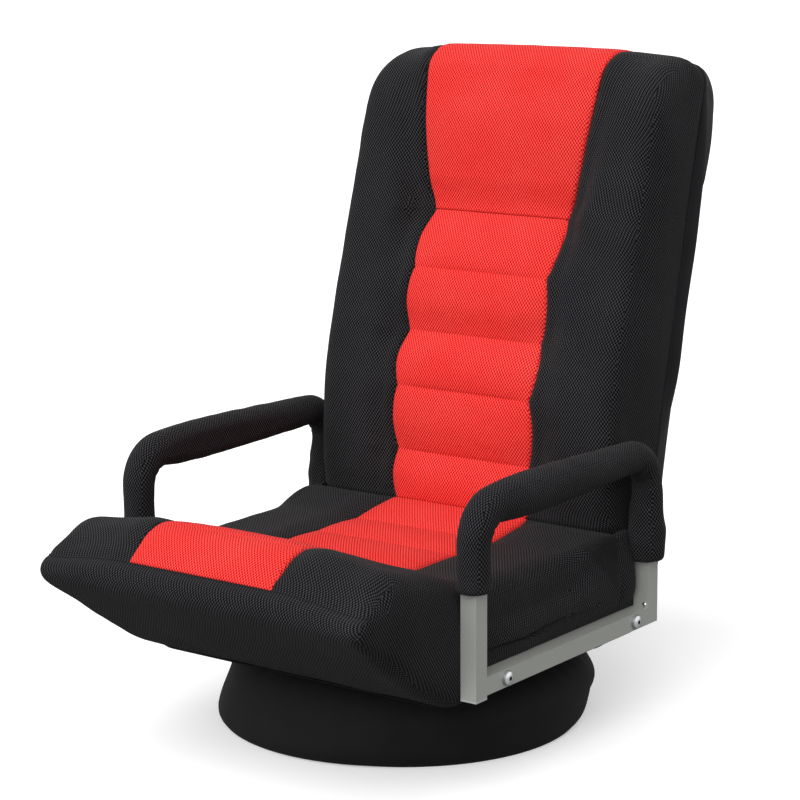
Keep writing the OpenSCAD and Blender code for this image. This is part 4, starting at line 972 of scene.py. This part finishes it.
end_places = [[(SIDE_END_IN, p) for p in side_end_outline]]
end_places += side_rings(lambda x: side_end_outline, SEAT_HALF, lambda p: SIDE_END_ROUND,
                         SIDE_END_CORE, side_end_bulge, SIDE_END_IN)
for sign, side in SIDES:
    rings = [[on_seat(sign * x, p) for x, p in ring] for ring in end_places]
    end_bm = skin(rings, cloth_lengths(rings))
    crumple(end_bm, depth=1.3 * MM, size=0.04, seed=6.0, stretch=(1, 0.4, 1.4))
    end_pad = piece(end_bm, side + "_seat_side_end", BLACK_MESH, "seat", 1)

# %% Round pads over the hinges
PAD_RIM = ((224.5, 0), (224.5, 40), (226, 48), (228.5, 49.4), (231, 46), (232, 36), (232.5, 0))
for sign, side in SIDES:
    rim = [(sign * x, r) for x, r in PAD_RIM]
    disc = piece(lathe_x(rim, HINGE), side + "_hinge_side_pad", BLACK_CLOTH, "seat")
# With the upright ends and the round pads, the corner pads stand for the side blocks
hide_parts("seat_side_blocks")

# %% [markdown]
# ## Arm sleeves
# Each arm is square tube inside a padded sleeve. A bevelled curve would give an even
# hose; here a ring is carried along the tube's path, thicker on top and gathered at the
# two bends, where the cloth creases on the inner side. The hems at the ends turn in.

# %% Path of the sleeve
ARM_X, ARM_FRONT, ARM_REAR, ARM_TOP, ARM_BEND = 258.0, -219.5, 161.0, 346.0, 42.0
ARM_PADDING = ((0, 23), (0.1, 24.8), (0.25, 25.8), (0.45, 25), (0.65, 23.5), (0.85, 21.6),
               (1, 20.5))


def on_bend(post, way, degrees):
    """Place (y, z) on a bend; way is 1 at the front post and -1 at the rear one."""
    t = math.radians(degrees)
    return (post + way * ARM_BEND * (1 - math.cos(t)), ARM_TOP - ARM_BEND * (1 - math.sin(t)))


def arm_stops():
    """Places (y, z) along the sleeve, each with the padding's radius there."""
    bend_foot = ARM_TOP - ARM_BEND
    run = ARM_REAR - ARM_FRONT - 2 * ARM_BEND
    stops = [((ARM_FRONT, 250.0), 20.6), ((ARM_FRONT, 272), 19.6), ((ARM_FRONT, bend_foot), 20)]
    stops += [(on_bend(ARM_FRONT, 1, a), 20 + 2.5 * a / 90) for a in range(15, 90, 15)]
    stops += [((ARM_FRONT + ARM_BEND + run * t, ARM_TOP), r) for t, r in ARM_PADDING]
    stops += [(on_bend(ARM_REAR, -1, a), 19 + 1.5 * a / 90) for a in range(75, 0, -15)]
    return stops + [((ARM_REAR, bend_foot), 19), ((ARM_REAR, 258), 23.5), ((ARM_REAR, 228), 25),
                    ((ARM_REAR, 207), 22)]


print("sleeve:", len(arm_stops()), "stops")

# %% Padded sleeve along the arm
SLEEVE_SIDES = 36
# Numbers of the stops round which the cloth gathers: on the front bend and the rear one
GATHERED = (5, 18)
# The inner side lies flat against the arm rail, this far from the tube's middle
FLAT_SIDE = -21.5
# Depth in mm of the folds, of the uneven cloth on top and on the rear post, and of the hem
FOLD, TIGHT, LOOSE, HEM_ROLL, HEM_CLOSE = 1.3, 0.8, 2.4, 1.2, 1.6
HEM_SHARE = 0.84
# Cloth layout in metres: the sleeve's mean radius, and the mean step from ring to ring
SLEEVE_CLOTH, RING_GAP = 0.025, 0.0046


def sleeve_rings(sign):
    """Rings from the front hem to the rear one; sign is 1 on the left, -1 on the right."""
    stops = arm_stops()
    places = smooth_path([Vector((p[0], p[1], 0)) for p, _ in stops], 4)
    knots = seams_along([Vector((q[0], q[1])) for q in places], [p for p, _ in stops])
    radii = list(zip(knots, [r for _, r in stops]))
    rings, run = [], 0.0
    for i, q in enumerate(places):
        if i:
            run += (q - places[i - 1]).length
        way = (places[min(i + 1, len(places) - 1)] - places[max(i - 1, 0)]).normalized()
        up = Vector((-way[1], way[0]))
        bent = sum(math.exp(-((run - knots[k]) / 26) ** 2) for k in GATHERED)
        loose = mix(TIGHT, LOOSE, ease((run - knots[GATHERED[1]]) / 30))
        end = min(run, knots[-1] - run)
        rolled = HEM_ROLL * math.exp(-(end / 7) ** 2)
        closing = HEM_CLOSE * math.exp(-(end / 2.5) ** 2)
        ring = []
        for k in range(SLEEVE_SIDES):
            a = math.tau * k / SLEEVE_SIDES
            fold = FOLD * bent * max(0, -math.sin(a)) ** 2 * math.sin(run / 2.9 + 2 * math.cos(a))
            spot = Vector((math.cos(a) * 2 + 3, math.sin(a) * 2, run / 22 + sign))
            size = table(radii, run) + fold + loose * noise.noise(spot) + rolled - closing
            beside = max(size * math.cos(a), FLAT_SIDE)
            rise = size * math.sin(a)
            ring.append(Vector((sign * (ARM_X + beside), q[0] + rise * up[0],
                                q[1] + rise * up[1])) * MM)
        rings.append(ring)
    hems = []
    for ring in (rings[0], rings[-1]):
        centre = sum(ring, Vector()) / len(ring)
        hems.append([centre.lerp(p, HEM_SHARE) for p in ring])
    return hems[:1] + rings + hems[1:]


for sign, side in SIDES:
    rings = sleeve_rings(sign)
    around = [math.tau * k / SLEEVE_SIDES * SLEEVE_CLOTH for k in range(SLEEVE_SIDES)]
    lengths = [[(u, RING_GAP * j) for u in around] for j in range(len(rings))]
    sleeve = piece(skin(rings, lengths), side + "_arm_padded_sleeve", BLACK_MESH, "seat", 1)
    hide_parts(side + "_arm_sleeve")

# %% [markdown]
# ## Base cover
# The round base is a steel ring in a foam collar, with a cloth cover drawn over it and
# gathered at the top. A profile is spun about the swivel axis, and left as it is it
# would look like turned plastic. So the cloth sags unevenly, is gathered round the top,
# and leans as the loose cover does in the photograph.

# %% Spinning the base cover
BASE_SIDE = [(150, 2.6), (214, 2.6), (223, 4), (229.5, 13), (233.5, 27), (235.5, 43),
             (234.5, 56), (229.5, 68), (221, 79), (209, 87.5), (194, 91.8), (176, 92.4),
             (150, 92.2), (120, 91.6)]
base_profile = smooth_path(BASE_SIDE, 4)


def spun(profile, steps):
    """A profile of (radius, height) spun about the swivel axis."""
    bm = bmesh.new()
    bm.verts.layers.float_vector.new("cloth")
    line = [bm.verts.new((p[0] * MM, 0, p[1] * MM)) for p in profile]
    for a, b in zip(line, line[1:]):
        bm.edges.new((a, b))
    bmesh.ops.spin(bm, geom=bm.verts[:] + bm.edges[:], axis=(0, 0, 1), angle=math.tau,
                   steps=steps, use_merge=True)
    bmesh.ops.recalc_face_normals(bm, faces=bm.faces)
    return bm


# %% Gathers, sag and lean of the cover
GATHERS, GATHER_DEPTH = 46, 0.9
SAG = 2.6
CLOTH_GAUGE = 1.5
# The lean in mm at the foot and above LEAN_TOP (in metres), and the turn to its side
FOOT_LEAN, UPPER_LEAN, LEAN_TOP = 18, -6, 0.06
LEAN_TURN = math.radians(138)
# Cloth layout in metres: for each radian of turn, and where the top's centre lies
BASE_CLOTH_TURN, BASE_CLOTH_TOP = 0.2, 0.12
base_bm = spun(base_profile, 180)
base_cloth = base_bm.verts.layers.float_vector["cloth"]
for v in base_bm.verts:
    turn = math.atan2(v.co.y, v.co.x)
    r = math.hypot(v.co.x, v.co.y)
    v[base_cloth] = (turn * BASE_CLOTH_TURN, v.co.z + BASE_CLOTH_TOP - r * 0.5, 0)
    swing = turn * GATHERS + 3 * noise.noise(Vector((turn * 3, 1, 1)))
    gather = GATHER_DEPTH * MM * math.sin(swing) * ease((v.co.z - 0.07) / 0.02)
    spot = Vector((math.cos(turn) * 3, math.sin(turn) * 3, v.co.z * 22))
    sag = SAG * MM * noise.noise(spot)
    to_left = math.cos(turn + LEAN_TURN)
    lean = mix(FOOT_LEAN, UPPER_LEAN, ease(v.co.z / LEAN_TOP)) * MM * to_left
    # On the other side the foot stays where it is
    if to_left < 0 and lean < 0:
        lean = 0
    out = Vector((v.co.x, v.co.y, 0)).normalized()
    loose = (gather + sag) * ease((v.co.z - 0.004) / 0.02)
    v.co += out * (loose + lean * ease((r - 0.16) / 0.04))
# The base's darker cloth is painted shade under the seat
base_shell = piece(base_bm, "base_cloth_cover", SHADED_BASE_CLOTH, "base")
gauge = base_shell.modifiers.new("cloth", "SOLIDIFY")
gauge.thickness, gauge.offset = CLOTH_GAUGE * MM, -1
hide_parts("base_cover")

# %% [markdown]
# ## Metal and plastic finishes
# The frame parts keep their shape from the construction model and get the finish that
# each has in the factory. Image textures could show the coats' grain; fine noise does it
# without a picture, and broad noise keeps the tone from being flat.

# %% Painted, plated and moulded finishes
def metal(name, colour, rough, metallic, grain, bump):
    """A hard finish; grain is the noise scale of its surface and bump how deep it looks."""
    made, tree = new_material(name)
    where = add(tree, "ShaderNodeTexCoord").outputs["Object"]
    specks = add(tree, "ShaderNodeTexNoise", {"Vector": where, "Scale": grain, "Detail": 3.0})
    clouds = add(tree, "ShaderNodeTexNoise", {"Vector": where, "Scale": 9.0, "Detail": 3.0})
    base = hexed(colour)
    darker = tuple(c * 0.86 for c in base[:3]) + (1.0,)
    tone = add(tree, "ShaderNodeMix", {0: clouds, 6: darker, 7: base}, data_type="RGBA").outputs[2]
    gloss = add(tree, "ShaderNodeMapRange", {
        0: specks, 1: 0.3, 2: 0.7, 3: rough - 0.06, 4: rough + 0.06})
    relief = add(tree, "ShaderNodeBump", {
        "Height": specks, "Strength": bump, "Distance": 0.1 * MM})
    coat = add(tree, "ShaderNodeBsdfPrincipled", {
        "Base Color": tone, "Metallic": metallic, "Roughness": gloss, "Normal": relief})
    add(tree, "ShaderNodeOutputMaterial", {"Surface": coat})
    return made


FINISHES = {
    # Baked powder with metal flakes: a light grey with broad, soft highlights
    "silver_paint": metal("silver_grey_powder_coat", "#b3b5b0", 0.42, 0.3, 1400, 0.12),
    # Baked powder: satin black, slightly rough like orange peel
    "black_paint": metal("black_powder_coat", "#1b1b1c", 0.5, 0.0, 1200, 0.2),
    # Moulded plastic: an even grey with a dull shine
    "grey_plastic": metal("grey_moulded_polypropylene", "#b9bab8", 0.45, 0.0, 700, 0.05),
    # Pressed sheet steel: bare metal, blurred by fine marks of the press
    "steel": metal("stamped_steel", "#8d8f92", 0.38, 1.0, 500, 0.08),
    # Zinc from a bath: the brightest metal, with clear highlights
    "zinc": metal("bright_zinc_plate", "#d9dbde", 0.24, 1.0, 600, 0.04),
    # Foamed and cut: no shine, and open pores that take the light
    "foam": metal("grey_polyurethane_foam", "#5d5d60", 0.95, 0.0, 500, 0.9),
    # Pressed felt: no shine, a deep and fibrous black
    "floor_pad": metal("black_non_slip_felt", "#141415", 0.95, 0.0, 900, 0.8),
    # Woven with rubber threads: dull dark grey
    "webbing": metal("black_elastic_webbing", "#2a2a2c", 0.85, 0.0, 800, 0.5),
    "black_cloth": BLACK_CLOTH, "black_mesh": BLACK_MESH, "red_mesh": RED_MESH,
}
print(len(FINISHES), "finishes")

# %% [markdown]
# ## Foam collar in the base
# Under the base cover a ring of foam gives the base its round side. The ring from the
# construction model fills an even cover, and under this loose one it could show where
# the cloth sags in. So a slimmer profile is spun and smoothed. It comes after the
# finishes, because it is the one new piece of bare foam.

# %% Spinning the foam collar
FOAM_SIDE = [(196, 8), (214, 8), (222, 20), (227, 43), (221, 64), (208, 78), (196, 83),
             (196, 60), (196, 30), (196, 8)]
foam_bm = spun(FOAM_SIDE, 90)
bmesh.ops.remove_doubles(foam_bm, verts=foam_bm.verts, dist=1e-5)
bmesh.ops.recalc_face_normals(foam_bm, faces=foam_bm.faces)
foam_ring = piece(foam_bm, "base_foam_collar", FINISHES["foam"], "base", 1)
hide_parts("base_foam")

# %% [markdown]
# ## Arm bolts
# The arm bolts are button heads with a hexagon socket. The socket is shaped in the
# construction model, but at this size it hardly shows, so its shade is painted. A darker
# material per face could be set; a tone by distance from the bolt's axis needs no faces
# and has a soft edge. The same tone paints shade round the rim of each head.

# %% Zinc plate with painted shade in the socket and round the head
# Axes of the two bolts on each side as (y, z), in metres
BOLT_PLACES = [(-0.168, 0.136), (0.119, 0.136)]
# Radii in mm over which the painted shade in the socket and round the head's rim fades
SOCKET_IN, SOCKET_OUT = 2.3, 3.0
HEAD_IN, HEAD_OUT = 7.4, 8.2
# Share of the zinc's tone left under the painted shade at the head's rim
RIM_SHADE_TONE = 0.35


def from_axis(tree, at, place):
    """Distance of a surface point from an axis along X through a place (y, z)."""
    squares = []
    for k, middle in enumerate(place, 1):
        off = add(tree, "ShaderNodeMath", {0: at.outputs[k], 1: middle}, operation="SUBTRACT")
        size = add(tree, "ShaderNodeMath", {0: off}, operation="ABSOLUTE")
        squares.append(add(tree, "ShaderNodeMath", {0: size, 1: 2.0}, operation="POWER"))
    total = add(tree, "ShaderNodeMath", {0: squares[0], 1: squares[1]}, operation="ADD")
    return add(tree, "ShaderNodeMath", {0: total}, operation="SQRT")


def bolt_finish_with_painted_shade():
    """Zinc plate with painted shade: dark in the hexagon socket, greyer round the head's edge."""
    made, tree = new_material("zinc_bolt_with_painted_socket_shade")
    where = add(tree, "ShaderNodeTexCoord").outputs["Object"]
    at = add(tree, "ShaderNodeSeparateXYZ", {0: where})
    reaches = [from_axis(tree, at, place) for place in BOLT_PLACES]
    reach = add(tree, "ShaderNodeMath", {0: reaches[0], 1: reaches[1]}, operation="MINIMUM")
    # Painted shade of the socket: full inside it, none beyond it
    beyond_socket_shade = add(tree, "ShaderNodeMapRange", {
        0: reach, 1: SOCKET_IN * MM, 2: SOCKET_OUT * MM, 3: 0.0, 4: 1.0})
    rim = add(tree, "ShaderNodeMapRange", {
        0: reach, 1: HEAD_IN * MM, 2: HEAD_OUT * MM, 3: 1.0, 4: RIM_SHADE_TONE})
    tone = add(tree, "ShaderNodeMath", {0: beyond_socket_shade, 1: rim}, operation="MULTIPLY")
    # The dark colour is the painted shade, the bright one the zinc's own
    colour = add(tree, "ShaderNodeMix", {0: tone, 6: hexed("#1c1c1e"), 7: hexed("#eceef0")},
                 data_type="RGBA").outputs[2]
    plate = add(tree, "ShaderNodeBsdfPrincipled", {
        "Base Color": colour, "Metallic": 0.6, "Roughness": 0.28})
    add(tree, "ShaderNodeOutputMaterial", {"Surface": plate})
    return made


# %% Finishes on the construction parts
BOLT_PAINTED_SHADE_FINISH = bolt_finish_with_painted_shade()
slots = {part["node"]: part["material_slot"] for part in frame["record"]["subparts"]}
for node, slot in slots.items():
    carried = bpy.data.objects.get(node)
    if carried is None:
        print("no object for", node)
        continue
    carried.data.materials.clear()
    carried.data.materials.append(BOLT_PAINTED_SHADE_FINISH if node.endswith("arm_bolts") else FINISHES[slot])
print(len(slots), "construction parts have their finish")

# %% [markdown]
# ## Floor, light and camera
# A plain white floor under soft light, as in a product photograph. Area lamps would do
# close by; two suns with a wide angle give soft shadows without a place to tune, and
# the sky fills the rest. The floor is white only for the camera: to the light that
# bounces it is grey, so that the chair isn't lit from below.

# %% White floor
FLOOR_REACH = 30
FLOOR_GLOW = 0.33
floor_bm = bmesh.new()
bmesh.ops.create_grid(floor_bm, x_segments=1, y_segments=1, size=FLOOR_REACH)
floor_mesh = bpy.data.meshes.new("floor")
floor_bm.to_mesh(floor_mesh)
floor_bm.free()
floor = bpy.data.objects.new("floor", floor_mesh)
bpy.context.collection.objects.link(floor)
floor_paint, tree = new_material("white_studio_floor")
seen = add(tree, "ShaderNodeLightPath")
shade = add(tree, "ShaderNodeBsdfDiffuse", {"Color": (0.85, 0.85, 0.85, 1)})
glow = add(tree, "ShaderNodeEmission", {"Color": (1, 1, 1, 1), "Strength": FLOOR_GLOW})
bright = add(tree, "ShaderNodeAddShader", {0: shade, 1: glow})
grey = add(tree, "ShaderNodeBsdfDiffuse", {"Color": (0.2, 0.2, 0.2, 1)})
painted = add(tree, "ShaderNodeMixShader", {0: seen.outputs["Is Camera Ray"], 1: grey, 2: bright})
add(tree, "ShaderNodeOutputMaterial", {"Surface": painted})
floor_mesh.materials.append(floor_paint)
print("the floor reaches", FLOOR_REACH, "m each way")

# %% White sky
# Full strength for what the camera sees, mirrors and looks through, less as light
SKY_SEEN, SKY_LIGHT = 1.0, 0.6
world = bpy.data.worlds.new("studio")
bpy.context.scene.world = world
world.use_nodes = True
world.node_tree.nodes.clear()
tree = world.node_tree
seen = add(tree, "ShaderNodeLightPath")
rays = [seen.outputs[ray] for ray in ("Is Camera Ray", "Is Glossy Ray", "Is Transmission Ray")]
direct = add(tree, "ShaderNodeMath", {0: rays[0], 1: rays[1]}, operation="MAXIMUM")
direct = add(tree, "ShaderNodeMath", {0: direct, 1: rays[2]}, operation="MAXIMUM")
level = add(tree, "ShaderNodeMapRange", {0: direct, 1: 0.0, 2: 1.0, 3: SKY_LIGHT, 4: SKY_SEEN})
sky = add(tree, "ShaderNodeBackground", {"Color": (1, 1, 1, 1), "Strength": level})
add(tree, "ShaderNodeOutputWorld", {"Surface": sky})
print("sky as light:", SKY_LIGHT)


# %% Lamps
def sun(name, azimuth, height, power, angle):
    """A lamp that shines from an azimuth (0 is the front, 90 the chair's +X side)."""
    a, e = math.radians(azimuth), math.radians(height)
    towards = Vector((math.sin(a) * math.cos(e), -math.cos(a) * math.cos(e), math.sin(e)))
    data = bpy.data.lights.new(name, "SUN")
    data.energy, data.angle = power, math.radians(angle)
    lamp = bpy.data.objects.new(name, data)
    lamp.rotation_euler = towards.to_track_quat("Z", "Y").to_euler()
    bpy.context.collection.objects.link(lamp)
    print(name, "sun at", azimuth, "degrees, height", height)


SOFTNESS = 80
sun("key", 0, 39, 3.05, SOFTNESS)
sun("fill", 60, 50, 0.25, SOFTNESS)

# %% [markdown]
# ## The photograph's view
# The camera could be set by eye. Its place, turn and focal length were solved from the
# arm frames, the base circle and the seams in the photograph, so the render lies over it.

# %% Camera at the photograph's place
FOCAL_PX, PHOTO_PX, SENSOR = 2539.4, 800, 36
EYE = Vector((1.8728, -2.5255, 1.0362))
AZIMUTH, PITCH, ROLL = math.radians(36.7), math.radians(11.28), math.radians(-0.33)
ahead = Vector((-math.sin(AZIMUTH) * math.cos(PITCH), math.cos(AZIMUTH) * math.cos(PITCH),
                -math.sin(PITCH)))
level_right = Vector((math.cos(AZIMUTH), math.sin(AZIMUTH), 0))
level_up = level_right.cross(ahead)
right = level_right * math.cos(ROLL) + level_up * math.sin(ROLL)
up = level_up * math.cos(ROLL) - level_right * math.sin(ROLL)
lens = bpy.data.cameras.new("camera")
lens.sensor_width = SENSOR
lens.lens = FOCAL_PX / PHOTO_PX * SENSOR
lens.clip_end = 100
camera = bpy.data.objects.new("camera", lens)
rows = [[right[k], up[k], -ahead[k], EYE[k]] for k in range(3)]
camera.matrix_world = Matrix(rows + [[0, 0, 0, 1]])
bpy.context.collection.objects.link(camera)
bpy.context.scene.camera = camera
bpy.context.scene.view_settings.view_transform = "Standard"
print("camera lens", round(lens.lens, 2), "mm")
